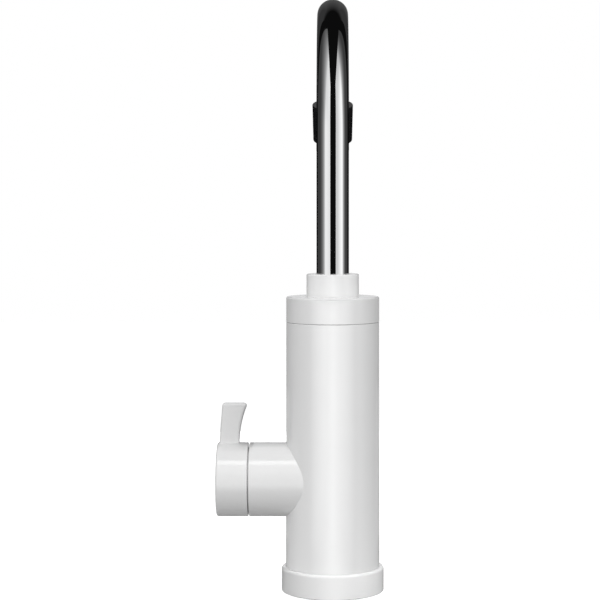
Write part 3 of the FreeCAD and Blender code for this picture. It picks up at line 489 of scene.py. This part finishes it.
def laid_on_x(shape, z):
    """Turns a shape made on the z axis so that it lies along the x axis at that height."""
    move = Matrix.Translation((0, 0, z)) @ Matrix.Rotation(math.radians(90), 4, "Y")
    bmesh.ops.transform(shape, matrix=move, verts=shape.verts)
    return shape


def rod(radius, start, end, rounds=(), steps=None):
    """A solid rod on the z axis, with rounded ends where rounds names them."""
    return turned([(0, start), (radius, start), (radius, end), (0, end)], rounds, steps)


def ringed_rod(radius, start, end, near, far):
    """Outline of a rod whose wall has rings between two heights, so that cuts there stay smooth."""
    points = [(0, start), (radius, start)]
    count = int((far - near) / RING_STEP)
    points += [(radius, near + (far - near) * i / count) for i in range(count + 1)]
    points += [(radius, end), (0, end)]
    return points


def corners_in(parts):
    return [part for part in parts if isinstance(part, bmesh.types.BMVert)]


def edges_in(parts):
    return [part for part in parts if isinstance(part, bmesh.types.BMEdge)]


def soften(shape):
    """Shades the faces smooth and keeps the edges between steep ones sharp."""
    for face in shape.faces:
        face.smooth = True
    for edge in shape.edges:
        edge.smooth = len(edge.link_faces) == 2 and edge.calc_face_angle() < SMOOTH_BELOW


def as_object(name, shape):
    mesh = bpy.data.meshes.new(name)
    shape.to_mesh(mesh)
    shape.free()
    thing = bpy.data.objects.new(name, mesh)
    bpy.context.scene.collection.objects.link(thing)
    return thing


def cut(shape, tool):
    """The shape without the room that the tool takes."""
    work = as_object("work", shape)
    other = as_object("tool", tool)
    step = work.modifiers.new("cut", "BOOLEAN")
    step.operation = "DIFFERENCE"
    step.solver = "EXACT"
    step.object = other
    bpy.context.view_layer.update()
    result = work.evaluated_get(bpy.context.evaluated_depsgraph_get())
    made = bmesh.new()
    made.from_mesh(result.to_mesh())
    result.to_mesh_clear()
    for thing in (work, other):
        mesh = thing.data
        bpy.data.objects.remove(thing)
        bpy.data.meshes.remove(mesh)
    if not made.faces:
        raise RuntimeError("a cut shape came out empty")
    return tidy(made)


def piece(name, shape, body, slot, *nodes):
    """Makes a visible piece of a shape, riding on a body in place of CAD nodes."""
    soften(shape)
    thing = as_object(name, shape)
    thing.data.materials.append(coat(slot))
    even = thing.modifiers.new("even normals", "WEIGHTED_NORMAL")
    even.keep_sharp = True
    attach(thing, body)
    if nodes:
        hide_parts(*nodes)
    return thing


# Pieces

def stub_place():
    """Radius, height and end of the side stub, which the knob continues."""
    radius = high("handle").y
    return radius, size(low("handle").z + radius), low("handle").x - sizes().knob_gap


def arch_height():
    """Height of the centre of the spout's arch."""
    s = sizes()
    return high("spout_tube").z - s.arch_r - s.tube_r


def outlet():
    """Where the spout's tail starts, with z along the flow."""
    s = sizes()
    y = s.arch_r * (math.cos(s.arch_sweep) - 1)
    z = arch_height() + s.arch_r * math.sin(s.arch_sweep)
    return Matrix.Translation((0, y, z)) @ Matrix.Rotation(s.arch_sweep, 4, "X")


class TAP_OT_body(bpy.types.Operator):
    """Body casing with its side stub"""

    bl_idname = "tap.body"
    bl_label = "Body casing"

    def execute(self, context):
        self.casing()
        self.sleeve()
        return {"FINISHED"}

    def casing(self):
        s = sizes()
        foot = low("body_shell").z
        stub_r, stub_z, stub_end = stub_place()
        near = stub_z - stub_r - RING_MARGIN
        far = stub_z + stub_r + RING_MARGIN
        points = ringed_rod(s.body_r, foot, s.seam_z, near, far)
        casing = turned(points, [(len(points) - 2, s.seam_bevel)])
        hollow = rod(s.body_r - s.body_wall, foot - CUT_OVER, s.seam_z + CUT_OVER)
        casing = cut(casing, hollow)
        bore = rod(stub_r - s.body_wall, STUB_BORE_START, stub_end)
        casing = cut(casing, laid_on_x(bore, stub_z))
        piece("body_casing", casing, "tap_body", "white_gloss", "body_shell")

    def sleeve(self):
        """The side stub, let into the casing's wall, with the shoulder inside the knob."""
        s = sizes()
        stub_r, stub_z, stub_end = stub_place()
        outer = stub_r - s.knob_wall - SHOULDER_GAP
        inner = high("cartridge_body").y + CARTRIDGE_GAP
        bore = stub_r - s.body_wall
        plate = stub_end - PLATE
        far = stub_end + s.shoulder_len
        points = [(bore, STUB_START), (stub_r, STUB_START), (stub_r, stub_end), (outer, stub_end),
                  (outer, far), (outer - s.shoulder_wall, far),
                  (outer - s.shoulder_wall, stub_end), (inner, stub_end), (inner, plate),
                  (bore, plate)]
        sleeve = laid_on_x(turned(points, [(2, s.edge_round), (4, FINE_ROUND)]), stub_z)
        seat = rod(s.body_r - STUB_SEAT, stub_z - 2 * stub_r, stub_z + 2 * stub_r)
        piece("valve_stub", cut(sleeve, seat), "tap_body", "white_gloss")


class TAP_OT_rings(bpy.types.Operator):
    """Base ring, top cap and spout collar"""

    bl_idname = "tap.rings"
    bl_label = "White rings"

    def execute(self, context):
        self.base()
        self.cap()
        self.collar()
        return {"FINISHED"}

    def base(self):
        s = sizes()
        outer = high("base_cup").x
        top = high("base_cup").z
        floor = low("body_shell").z
        socket = s.body_r + SLIDE_FIT
        foot = s.base_lift
        points = [(0, foot), (outer, foot), (outer, top), (socket, top), (socket, floor),
                  (0, floor)]
        ring = turned(points, [(1, s.base_foot), (2, s.base_round)])
        ring = cut(ring, self.groove())
        for node, radius in (("inlet_shank", SHANK_HOLE), ("cable_bush", BUSH_HOLE)):
            ring = cut(ring, self.hole(node, radius))
        for x in (-1, 1):
            for y in (-1, 1):
                ring = cut(ring, self.screw_hole(x, y))
        piece("base_ring", ring, "tap_body", "white_gloss", "base_cup")

    def groove(self):
        """Room for the gasket in the base ring."""
        gasket = high("deck_gasket")
        outer = gasket.x + GASKET_GAP
        inner = gasket.x - GASKET_WIDTH - GASKET_GAP
        return turned([(inner, -CUT_OVER), (outer, -CUT_OVER), (outer, gasket.z), (inner, gasket.z)])

    def hole(self, node, radius):
        middle = (low(node) + high(node)) / 2
        tool = rod(radius, -CUT_OVER, HOLE_TOP, (), HOLE_STEPS)
        bmesh.ops.translate(tool, verts=tool.verts, vec=(middle.x, middle.y, 0))
        return tool

    def screw_hole(self, x, y):
        spread = high("base_screws") - Vector((SCREW_HEAD, SCREW_HEAD, 0))
        points = [(0, -CUT_OVER), (SCREW_SEAT_R, -CUT_OVER), (SCREW_SEAT_R, SCREW_SEAT_TOP),
                  (SCREW_HOLE, SCREW_SEAT_TOP), (SCREW_HOLE, HOLE_TOP), (0, HOLE_TOP)]
        tool = turned(points, (), SCREW_STEPS)
        bmesh.ops.translate(tool, verts=tool.verts, vec=(x * spread.x, y * spread.y, 0))
        return tool

    def cap(self):
        s = sizes()
        top = high("top_cap").z
        under = top - PLATE
        seam = s.seam_z + s.seam_slit
        wall = s.body_r - s.body_wall
        ledge = wall + CAP_LEDGE
        lip = low("top_cap").z
        outside = wall - CAP_LIP_GAP
        inside = outside - CAP_LIP_WALL
        points = [(CAP_HOLE, under), (CAP_HOLE, top), (s.body_r, top), (s.body_r, seam),
                  (ledge, seam), (ledge, s.seam_z), (outside, s.seam_z), (outside, lip),
                  (inside, lip), (inside, s.seam_z + CAP_LIP_SLOPE),
                  (wall, s.seam_z + 2 * CAP_LIP_SLOPE), (wall, under)]
        ring = turned(points, [(2, s.cap_round), (3, s.seam_bevel)])
        piece("cap_ring", ring, "tap_body", "white_gloss", "top_cap")

    def collar(self):
        s = sizes()
        bottom = low("spout_collar").z
        top = high("spout_collar").z
        outer = high("spout_collar").x
        under = top - PLATE
        hole = s.tube_r + SLIDE_FIT
        points = [(hole, under), (hole, top), (outer, top), (outer, bottom), (COLLAR_BORE, bottom),
                  (COLLAR_BORE, under)]
        ring = turned(points, [(2, s.collar_round), (1, HOLE_ROUND)])
        piece("swivel_collar", ring, "tap_body", "white_gloss", "spout_collar")


class TAP_OT_handle(bpy.types.Operator):
    """Knob with its lever, and the plug over its screw"""

    bl_idname = "tap.handle"
    bl_label = "Handle"

    def execute(self, context):
        radius, middle, _ = stub_place()
        end = high("handle").x
        knob = laid_on_x(self.knob(radius, end), middle)
        piece("handle_knob", knob, "handle_group", "white_gloss", "handle")
        piece("handle_lever", self.lever(middle, radius, end), "handle_group", "white_gloss")
        plug_r = high("screw_cap").y - PLUG_FIT
        plug = rod(plug_r, low("screw_cap").x, end, [(2, HOLE_ROUND)])
        piece("screw_plug", laid_on_x(plug, middle), "handle_group", "white_gloss", "screw_cap")
        return {"FINISHED"}

    def knob(self, radius, end):
        s = sizes()
        start = low("handle").x
        floor = end - s.knob_end
        inner = radius - s.knob_wall
        plug = high("screw_cap").y + SLIDE_FIT
        seat = low("screw_cap").x
        hub = start + HUB_START
        points = [(inner, start), (radius, start), (radius, end), (plug, end), (plug, seat),
                  (HUB_BORE, seat), (HUB_BORE, hub), (HUB_R, hub), (HUB_R, floor), (inner, floor)]
        return turned(points, [(1, s.edge_round), (2, s.knob_round), (3, FINE_ROUND)])

    def lever(self, middle, radius, end):
        s = sizes()
        root = middle + radius
        top = high("handle").z
        seat = root - LEVER_SEAT * s.knob_wall
        blade = self.column(seat, root, top)
        self.bend(blade, middle + LEVER_FOOT * radius, root, top, end - s.lever_inset)
        tidy(blade)
        self.round_corners(blade, top)
        self.round_sides(blade, seat)
        return tidy(closed(blade))

    def column(self, seat, root, top):
        """A square column with rings between the knob's wall and the lever's upper corners."""
        bent = top - 2 * sizes().lever_corner
        heights = [root + (bent - root) * i / LEVER_STEPS for i in range(LEVER_STEPS + 1)]
        column = bmesh.new()
        bmesh.ops.create_grid(column, x_segments=1, y_segments=1, size=0.5)
        bmesh.ops.translate(column, verts=column.verts, vec=(0, 0, seat))
        for z in (*heights, top):
            cap = max(column.faces, key=lambda face: face.calc_center_median().z)
            moved = corners_in(bmesh.ops.extrude_face_region(column, geom=[cap])["geom"])
            bmesh.ops.translate(column, verts=moved, vec=(0, 0, z - moved[0].co.z))
            bmesh.ops.delete(column, geom=[cap], context="FACES_ONLY")
        return column

    def bend(self, blade, foot, root, top, outer):
        """Gives the column the lever's lean, sweep and thickness."""
        s = sizes()
        inner = outer - s.lever_w
        arc = (s.lever_flare ** 2 + (top - root) ** 2) / (2 * s.lever_flare)
        for corner in blade.verts:
            z = corner.co.z
            along = (z - foot) / (top - foot)
            rise = max(0.0, z - root)
            sweep = arc - math.sqrt(arc ** 2 - rise ** 2)
            inside = corner.co.x < 0
            corner.co.x = inner - sweep if inside else outer - s.lever_lean * along
            half = (s.lever_t + (s.lever_tip_t - s.lever_t) * along) / 2
            corner.co.y = math.copysign(half, corner.co.y)

    def round_corners(self, blade, top):
        tips = [edge for edge in blade.edges
                if min(corner.co.z for corner in edge.verts) > top - LEVER_TIP_BAND
                and edge.verts[0].co.y * edge.verts[1].co.y < 0]
        for edge in tips:
            reach = sizes().lever_corner * math.tan(edge.calc_face_angle() / 2)
            rounded(blade, [edge], reach, ROUND_STEPS, "EDGES")

    def round_sides(self, blade, seat):
        sides = [edge for edge in blade.edges
                 if edge.verts[0].co.y * edge.verts[1].co.y > 0
                 and max(corner.co.z for corner in edge.verts) > seat + LEVER_SEAT_BAND
                 and edge.calc_face_angle(0) > SHARP_OVER]
        rounded(blade, sides, sizes().lever_round, SIDE_STEPS, "EDGES")


class TAP_OT_spout(bpy.types.Operator):
    """Chrome spout"""

    bl_idname = "tap.spout"
    bl_label = "Spout"

    def execute(self, context):
        s = sizes()
        foot = low("spout_tube").z
        arch_z = arch_height()
        pipe = bmesh.new()
        bmesh.ops.create_circle(pipe, segments=s.turn_steps, radius=s.tube_r)
        bmesh.ops.translate(pipe, verts=pipe.verts, vec=(0, 0, foot))
        rim = pipe.edges[:]
        for share in RISER_RINGS:
            rim = self.grow(pipe, rim, Vector((0, 0, (arch_z - foot) * share)))
        turn = bmesh.ops.spin(pipe, geom=rim, cent=(0, -s.arch_r, arch_z), axis=(1, 0, 0),
                              angle=s.arch_sweep, steps=s.turn_steps)
        way = Vector((0, -math.sin(s.arch_sweep), math.cos(s.arch_sweep)))
        self.grow(pipe, edges_in(turn["geom_last"]), way * s.tube_tail)
        tube = piece("spout_pipe", tidy(pipe), "spout_group", "chrome", "spout_tube")
        wall = tube.modifiers.new("wall", "SOLIDIFY")
        wall.thickness = s.tube_wall
        wall.offset = -1
        return {"FINISHED"}

    def grow(self, pipe, rim, move):
        """Lengthens the pipe from a rim, and gives the new rim."""
        grown = bmesh.ops.extrude_edge_only(pipe, edges=rim)["geom"]
        bmesh.ops.translate(pipe, verts=corners_in(grown), vec=move)
        return edges_in(grown)


class TAP_OT_nozzle(bpy.types.Operator):
    """Black nozzle on the end of the spout"""

    bl_idname = "tap.nozzle"
    bl_label = "Nozzle"

    def execute(self, context):
        s = sizes()
        end_r = s.nozzle_r - s.nozzle_taper
        bore = end_r - s.nozzle_wall
        hole = s.tube_r + SLIDE_FIT
        points = [(hole, 0), (s.nozzle_r, 0), (end_r, s.nozzle_len), (bore, s.nozzle_len),
                  (bore, s.tube_tail), (hole, s.tube_tail)]
        cup = turned(points, [(1, s.nozzle_rim), (2, s.nozzle_round), (3, HOLE_ROUND)])
        bmesh.ops.transform(cup, matrix=outlet(), verts=cup.verts)
        piece("nozzle_cup", cup, "spout_group", "black_gloss", "nozzle_housing")
        return {"FINISHED"}


class TAP_OT_spring(bpy.types.Operator):
    """Spring behind the flow plunger"""

    bl_idname = "tap.spring"
    bl_label = "Plunger spring"

    def execute(self, context):
        s = sizes()
        start, end = low("plunger_spring"), high("plunger_spring")
        middle = (start.z + end.z) / 2
        turn = s.spring_turns * s.spring_steps
        rise = (end.x - start.x - 2 * s.spring_wire) / turn
        coil = bmesh.new()
        bmesh.ops.create_circle(coil, segments=WIRE_STEPS, radius=s.spring_wire)
        first = (start.x + s.spring_wire, end.y - s.spring_wire, middle)
        bmesh.ops.translate(coil, verts=coil.verts, vec=first)
        bmesh.ops.spin(coil, geom=coil.verts[:] + coil.edges[:], cent=(0, 0, middle),
                       axis=(1, 0, 0), dvec=(rise, 0, 0), angle=math.tau * s.spring_turns,
                       steps=turn)
        spring = piece("plunger_coil", tidy(closed(coil)), "tap_body", "steel", "plunger_spring")
        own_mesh(spring)
        return {"FINISHED"}


class TAP_OT_finishes(bpy.types.Operator):
    """Finishes of the frame's own pieces"""

    bl_idname = "tap.finishes"
    bl_label = "Finishes"

    def execute(self, context):
        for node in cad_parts.values():
            for slot in node.material_slots:
                slot.material = coat(slot.material.name.split(".")[0])
        return {"FINISHED"}


# Light of the studio's floor and cards

def seen_directly(nodes, links):
    """One for rays that look at a surface directly, in metal or through glass."""
    path = nodes.new("ShaderNodeLightPath").outputs
    seen = maths(nodes, links, "MAXIMUM", path["Is Camera Ray"], path["Is Glossy Ray"])
    return maths(nodes, links, "MAXIMUM", seen, path["Is Transmission Ray"])


def floor_finish():
    material, nodes, links = blank("studio_floor")
    shader = nodes["Principled BSDF"]
    shader.inputs["Roughness"].default_value = FLOOR_ROUGH
    shader.inputs["Base Color"].default_value = FLOOR_TONE
    shader.inputs["Emission Color"].default_value = WHITE
    lift = maths(nodes, links, "MULTIPLY", seen_directly(nodes, links), FLOOR_LIFT)
    links.new(lift, shader.inputs["Emission Strength"])
    return material


def glow(name, strength):
    """Light of a studio card, with its nodes, its links and the socket of its strength."""
    material, nodes, links = blank(name)
    nodes.remove(nodes["Principled BSDF"])
    shader = nodes.new("ShaderNodeEmission")
    shader.inputs["Color"].default_value = CARD_TINT
    shader.inputs["Strength"].default_value = strength
    links.new(shader.outputs[0], nodes["Material Output"].inputs["Surface"])
    return material, nodes, links, shader.inputs["Strength"]


def even_glow(name, strength):
    """Even light of a studio card."""
    return glow(name, strength)[0]


def side_glow(name, strength, edge, reach, spread, front, dark, drop):
    """Light of a side panel: it falls away behind the edge, over a reach that spreads higher up.
    Past the edge it drops to a share between two heights, and has a share of its own in front."""
    material, nodes, links, level = glow(name, strength)
    y = across(nodes, links, "Y")
    z = across(nodes, links, "Z")
    slope = span(nodes, links, z, reach, reach + spread, *PANEL_SPREAD)
    behind = maths(nodes, links, "DIVIDE", maths(nodes, links, "SUBTRACT", y, edge), slope)
    fall = maths(nodes, links, "EXPONENT", maths(nodes, links, "MINIMUM", behind, 0.0))
    near, far = PANEL_FRONT
    start, end, share = drop
    ahead = nodes.new("ShaderNodeMix")
    links.new(span(nodes, links, y, 0, 1, edge + near, edge + far), ahead.inputs["Factor"])
    links.new(span(nodes, links, z, strength, strength * share, start, end), ahead.inputs["A"])
    ahead.inputs["B"].default_value = strength * front
    bright = maths(nodes, links, "MULTIPLY", fall, ahead.outputs["Result"])
    links.new(maths(nodes, links, "MAXIMUM", bright, dark), level)
    return material


def wall_glow(name, lowest, highest, beside):
    """Light of a wall that fades upwards and to both sides."""
    material, nodes, links, level = glow(name, lowest)
    rise = span(nodes, links, across(nodes, links, "Z"), lowest, highest, *WALL_HEIGHTS)
    off = maths(nodes, links, "ABSOLUTE", across(nodes, links, "X"))
    sides = span(nodes, links, off, lowest, beside, 0.0, WALL_SIDE)
    links.new(maths(nodes, links, "MINIMUM", rise, sides), level)
    return material


# Lamps and cards

def unseen(thing):
    """Only reflections see a studio card."""
    thing.visible_camera = False
    thing.visible_diffuse = False
    thing.visible_shadow = False
    thing.visible_transmission = False
    thing.visible_volume_scatter = False


def card(name, centre, aim, width, height, material):
    """A flat card at centre that faces a point."""
    shape = bmesh.new()
    bmesh.ops.create_grid(shape, x_segments=1, y_segments=1, size=0.5)
    bmesh.ops.scale(shape, verts=shape.verts, vec=(width, height, 1))
    facing = (Vector(aim) - Vector(centre)).to_track_quat("Z", "Y").to_matrix().to_4x4()
    bmesh.ops.transform(shape, matrix=Matrix.Translation(centre) @ facing, verts=shape.verts)
    thing = as_object(name, shape)
    thing.data.materials.append(material)
    unseen(thing)
    return thing


def lamp(name, centre, aim, width, height, power):
    """A lamp at centre that faces a point and isn't seen in gloss."""
    light = bpy.data.lights.new(name, "AREA")
    light.shape = "RECTANGLE"
    light.size = width
    light.size_y = height
    light.energy = power
    thing = bpy.data.objects.new(name, light)
    thing.location = centre
    thing.rotation_euler = (Vector(aim) - Vector(centre)).to_track_quat("-Z", "Y").to_euler()
    thing.visible_glossy = False
    bpy.context.scene.collection.objects.link(thing)
    return thing


def only(thing, *names, state="INCLUDE"):
    """Lets a lamp light the named pieces only."""
    group = bpy.data.collections.new(thing.name + "_lit")
    for name in names:
        group.objects.link(bpy.data.objects[name])
    for member in group.collection_objects:
        member.light_linking.link_state = state
    thing.light_linking.receiver_collection = group


def spare(thing, *names):
    """Keeps a lamp off the named pieces."""
    only(thing, *names, state="EXCLUDE")


def shine(name, *names, centre, aim, width, height, level):
    """A strip of even brightness that shows in the gloss of the named pieces only."""
    thing = lamp(name, centre, aim, width, height, level * 4 * width * height)
    thing.visible_glossy = True
    thing.visible_diffuse = False
    only(thing, *names)
    return thing


def place_on_lamp(thing, axis):
    """Nodes and links of a lamp, and the place on it from 0 to 1."""
    thing.data.use_nodes = True
    nodes, links = thing.data.node_tree.nodes, thing.data.node_tree.links
    where = nodes.new("ShaderNodeNewGeometry")
    split = nodes.new("ShaderNodeSeparateXYZ")
    links.new(where.outputs["Parametric"], split.inputs[0])
    return nodes, links, split.outputs[axis]


def peaked(thing, steepness):
    """Makes a lamp brightest along its upright middle line."""
    nodes, links, place = place_on_lamp(thing, "X")
    off = maths(nodes, links, "ABSOLUTE", maths(nodes, links, "SUBTRACT", place, 0.5))
    rise = span(nodes, links, off, 1.0, 0.0, 0.0, 0.5)
    links.new(maths(nodes, links, "POWER", rise, steepness), nodes["Emission"].inputs["Strength"])


def footed(thing, share):
    """Lets a lamp fade out over a share of its height, at its lower end."""
    nodes, links, place = place_on_lamp(thing, "Y")
    rise = span(nodes, links, place, 0.0, 1.0, 0.0, share)
    links.new(rise, nodes["Emission"].inputs["Strength"])


class TAP_OT_stage(bpy.types.Operator):
    """Floor, light, studio cards and camera"""

    bl_idname = "tap.stage"
    bl_label = "Stage"

    def execute(self, context):
        self.floor()
        self.world(context)
        self.lamps()
        self.shines()
        self.metal_shines()
        self.cards()
        self.flag()
        self.camera(context)
        context.scene.view_settings.view_transform = "Standard"
        return {"FINISHED"}

    def floor(self):
        shape = bmesh.new()
        bmesh.ops.create_grid(shape, x_segments=1, y_segments=1, size=FLOOR_HALF)
        level = low("inlet_shank").z - studio().floor_gap
        bmesh.ops.translate(shape, verts=shape.verts, vec=(0, 0, level))
        floor = as_object("studio_floor", shape)
        floor.data.materials.append(floor_finish())

    def world(self, context):
        world = bpy.data.worlds.new("studio_world")
        context.scene.world = world
        world.use_nodes = True
        nodes = world.node_tree.nodes
        links = world.node_tree.links
        level = span(nodes, links, seen_directly(nodes, links), studio().ambient, 1.0, 0.0, 1.0)
        links.new(level, nodes["Background"].inputs["Strength"])
        nodes["Background"].inputs["Color"].default_value = WHITE

    def lamps(self):
        s = studio()
        spare(lamp("key_light", centre=(0, 1.0, 1.1), aim=(0, 0, 0.15), width=0.9, height=0.7,
                   power=s.key), *HANDLE_PIECES)
        only(lamp("handle_light", centre=(0, 1.15, 0.95), aim=(0, 0, 0.15), width=0.9, height=0.7,
                  power=s.handle), *HANDLE_PIECES)
        spare(lamp("top_light", centre=(0, 0, 1.2), aim=(0, 0, 0.1), width=0.8, height=0.8,
                   power=s.top), *HANDLE_PIECES)
        for side, x in (("left", 1.0), ("right", -1.0)):
            spare(lamp(side + "_light", centre=(0.16 * x, 0.05, -0.03), aim=(0, 0, 0.03), width=0.1,
                       height=0.03, power=s.side), *HANDLE_PIECES, "base_ring")
            only(lamp(side + "_collar_light", centre=(x, 0.25, 0.25), aim=(0, 0, 0.18), width=0.5,
                      height=0.5, power=s.collar), "swivel_collar")
        for side, x, share in (("left", 0.6, 0.2), ("right", -0.6, 1.0)):
            only(lamp(side + "_base_light", centre=(x, 0.7, 0.15), aim=(0, 0, 0), width=0.5,
                      height=0.5, power=share * s.base), "base_ring")
        only(lamp("rim_light", centre=(0, 0.1, 1.2), aim=(0, 0, 0), width=0.4, height=0.4,
                  power=s.base), "base_ring")
        lamp("back_light", centre=(0, -1.1, 0.12), aim=(0, 0, 0.12), width=0.8, height=0.3,
             power=s.back)

    def shines(self):
        """Strips of light that only the gloss of the named pieces shows."""
        s = studio()
        peaked(shine("front_shine", "body_casing", "cap_ring", centre=(0, 0.2, 0.06),
                     aim=(0, 0, 0.06), width=0.64, height=0.21, level=s.front), steepness=1.56)
        peaked(shine("collar_shine", "swivel_collar", centre=(0, 0.06, 0.155), aim=(0, 0, 0.155),
                     width=0.1, height=0.062, level=0.55 * s.front), steepness=1.5)
        peaked(shine("base_shine", "base_ring", centre=(0, 0.06, -0.016), aim=(0, 0, -0.016),
                     width=0.1, height=0.058, level=0.33 * s.front), steepness=1.5)
        band = Vector((0.045, 0.0176, 0.0784))
        shine("band_shine", *KNOB_PIECES, centre=band + Vector((0, 0.172, 0.304)), aim=band,
              width=0.4, height=0.085, level=s.band)
        footed(shine("stub_shine", *KNOB_PIECES, centre=(0.045, 0.12, 0.1135),
                     aim=(0.045, 0, 0.1135), width=0.3, height=0.225, level=s.stub), share=0.22)
        shine("over_shine", *KNOB_PIECES, centre=(0.045, 0.01, 0.226), aim=(0.045, 0.01, 0),
              width=0.3, height=0.22, level=0.45 * s.stub)
        for side, x, others in (("left", 0.21, ()), ("right", -0.21, ("base_ring",))):
            shine(side + "_rim_shine", "body_casing", "cap_ring", *others, centre=(x, -0.32, 0.13),
                  aim=(0, 0, 0.13), width=0.2, height=0.34, level=s.rim)
        peaked(shine("far_shine", "body_casing", "cap_ring", "swivel_collar",
                     centre=(0, -0.3, 0.04), aim=(0, 0, 0.04), width=0.16, height=0.16,
                     level=0.25 * s.front), steepness=1.0)
        shine("nozzle_shine", "nozzle_cup", centre=(0, -0.62, 0.64), aim=(0, -0.16, 0.29),
              width=0.3, height=0.3, level=s.nozzle)
        shine("ring_shine", "base_ring", centre=(0, 0.25, 0.45), aim=(0, 0, 0.01), width=1.2,
              height=0.4, level=s.ring)

    def metal_shines(self):
        """Strips all round that only the metal under the deck shows."""
        count = 6
        first = 0.3
        reach = 0.35
        for i in range(count):
            angle = math.tau * (i + first) / count
            where = Vector((reach * math.cos(angle), reach * math.sin(angle), 0.1))
            shine("metal_shine_%d" % i, *DECK_METAL, centre=where, aim=(0, 0, -0.02), width=0.26,
                  height=0.4, level=studio().metal)

    def cards(self):
        tent = bmesh.new()
        bmesh.ops.create_uvsphere(tent, u_segments=32, v_segments=16, radius=1.6)
        tent = as_object("dark_tent", tent)
        tent.data.materials.append(even_glow("dark_cloth", strength=0.004))
        unseen(tent)
        card("dark_floor", centre=(0, 0, low("inlet_shank").z - CLOTH_GAP), aim=(0, 0, 1), width=3.0,
             height=3.0, material=even_glow("floor_cloth", strength=0.2))
        self.side("left_panel", x=0.25, back=-0.2, front=0.842, top=0.93, lean=0.15,
                  material=side_glow("left_glow", strength=0.92, edge=0.19, reach=0.075,
                                     spread=0.12, front=0.92, dark=0.045, drop=(0.32, 0.44, 0.82)))
        self.side("right_panel", x=-0.25, back=-0.18, front=0.66, top=0.832, lean=0.125,
                  material=side_glow("right_glow", strength=1.05, edge=0.09, reach=0.046,
                                     spread=0.045, front=0.62, dark=0.045, drop=(0.43, 0.68, 0.5)))
        card("back_panel", centre=(0, -0.9, 0.12), aim=(0, 0, 0.12), width=0.6, height=0.33,
             material=even_glow("back_glow", strength=0.68))
        card("back_wall", centre=(0, -0.8, 0.83), aim=(0, 0, 0.83), width=1.2, height=0.94,
             material=wall_glow("wall_glow", lowest=0.105, highest=0.01, beside=0.034))

    def side(self, name, x, back, front, top, lean, material):
        """An upright panel beside the tap, whose front edge leans back towards its top."""
        centre = (x, (front + back) / 2, (top + PANEL_BOTTOM) / 2)
        panel = card(name, centre, (0, *centre[1:]), front - back, top - PANEL_BOTTOM, material)
        for corner in panel.data.vertices:
            if corner.co.y > centre[1] and corner.co.z > centre[2]:
                corner.co.y -= lean

    def flag(self):
        """Painted shade on the lever's inner face: a small card beside the lever that only diffuse
        rays see, dark towards the lever and as bright as the room behind.
        """
        material, nodes, links, level = glow("lever_shade_glow", 0.0)
        behind = nodes.new("ShaderNodeNewGeometry").outputs["Backfacing"]
        links.new(span(nodes, links, behind, 0.0, studio().ambient, 0.0, 1.0), level)
        # This card paints shade on the lever's inner face, and a little on the body beside it
        flag = card("lever_shade_flag", centre=(0.0465, -0.004, 0.1), aim=(0.06, -0.004, 0.1), width=0.032,
                    height=0.026, material=material)
        flag.visible_diffuse = True
        flag.visible_glossy = False

    def camera(self, context):
        s = studio()
        lens = bpy.data.cameras.new("camera")
        lens.lens = s.lens
        lens.sensor_width = SENSOR
        lens.shift_x = s.shift_x
        lens.shift_y = s.shift_y
        lens.clip_end = VIEW_END
        thing = bpy.data.objects.new("camera", lens)
        thing.location = (0, s.camera_y, s.camera_z)
        thing.rotation_euler = (math.radians(90), 0, math.radians(180))
        context.scene.collection.objects.link(thing)
        context.scene.camera = thing


operators = (TAP_OT_body, TAP_OT_rings, TAP_OT_handle, TAP_OT_spout, TAP_OT_nozzle, TAP_OT_spring,
             TAP_OT_finishes, TAP_OT_stage)
groups = (("tap_sizes", TapSizes), ("tap_colours", TapColours), ("tap_studio", TapStudio))


class TAP_PT_panel(bpy.types.Panel):
    """Lists the steps of the tap"""

    bl_idname = "TAP_PT_panel"
    bl_label = "Tap"
    bl_space_type = "VIEW_3D"
    bl_region_type = "UI"
    bl_category = "Tap"

    def draw(self, context):
        for operator in operators:
            self.layout.operator(operator.bl_idname)


def register():
    for name, group in groups:
        bpy.utils.register_class(group)
        setattr(bpy.types.Scene, name, PointerProperty(type=group))
    for operator in operators:
        bpy.utils.register_class(operator)
    bpy.utils.register_class(TAP_PT_panel)


def unregister():
    bpy.utils.unregister_class(TAP_PT_panel)
    for operator in reversed(operators):
        bpy.utils.unregister_class(operator)
    for name, group in reversed(groups):
        delattr(bpy.types.Scene, name)
        bpy.utils.unregister_class(group)


def main():
    register()
    bpy.ops.tap.body()
    bpy.ops.tap.rings()
    bpy.ops.tap.handle()
    bpy.ops.tap.spout()
    bpy.ops.tap.nozzle()
    bpy.ops.tap.spring()
    bpy.ops.tap.finishes()
    bpy.ops.tap.stage()


if __name__ == "__main__":
    main()
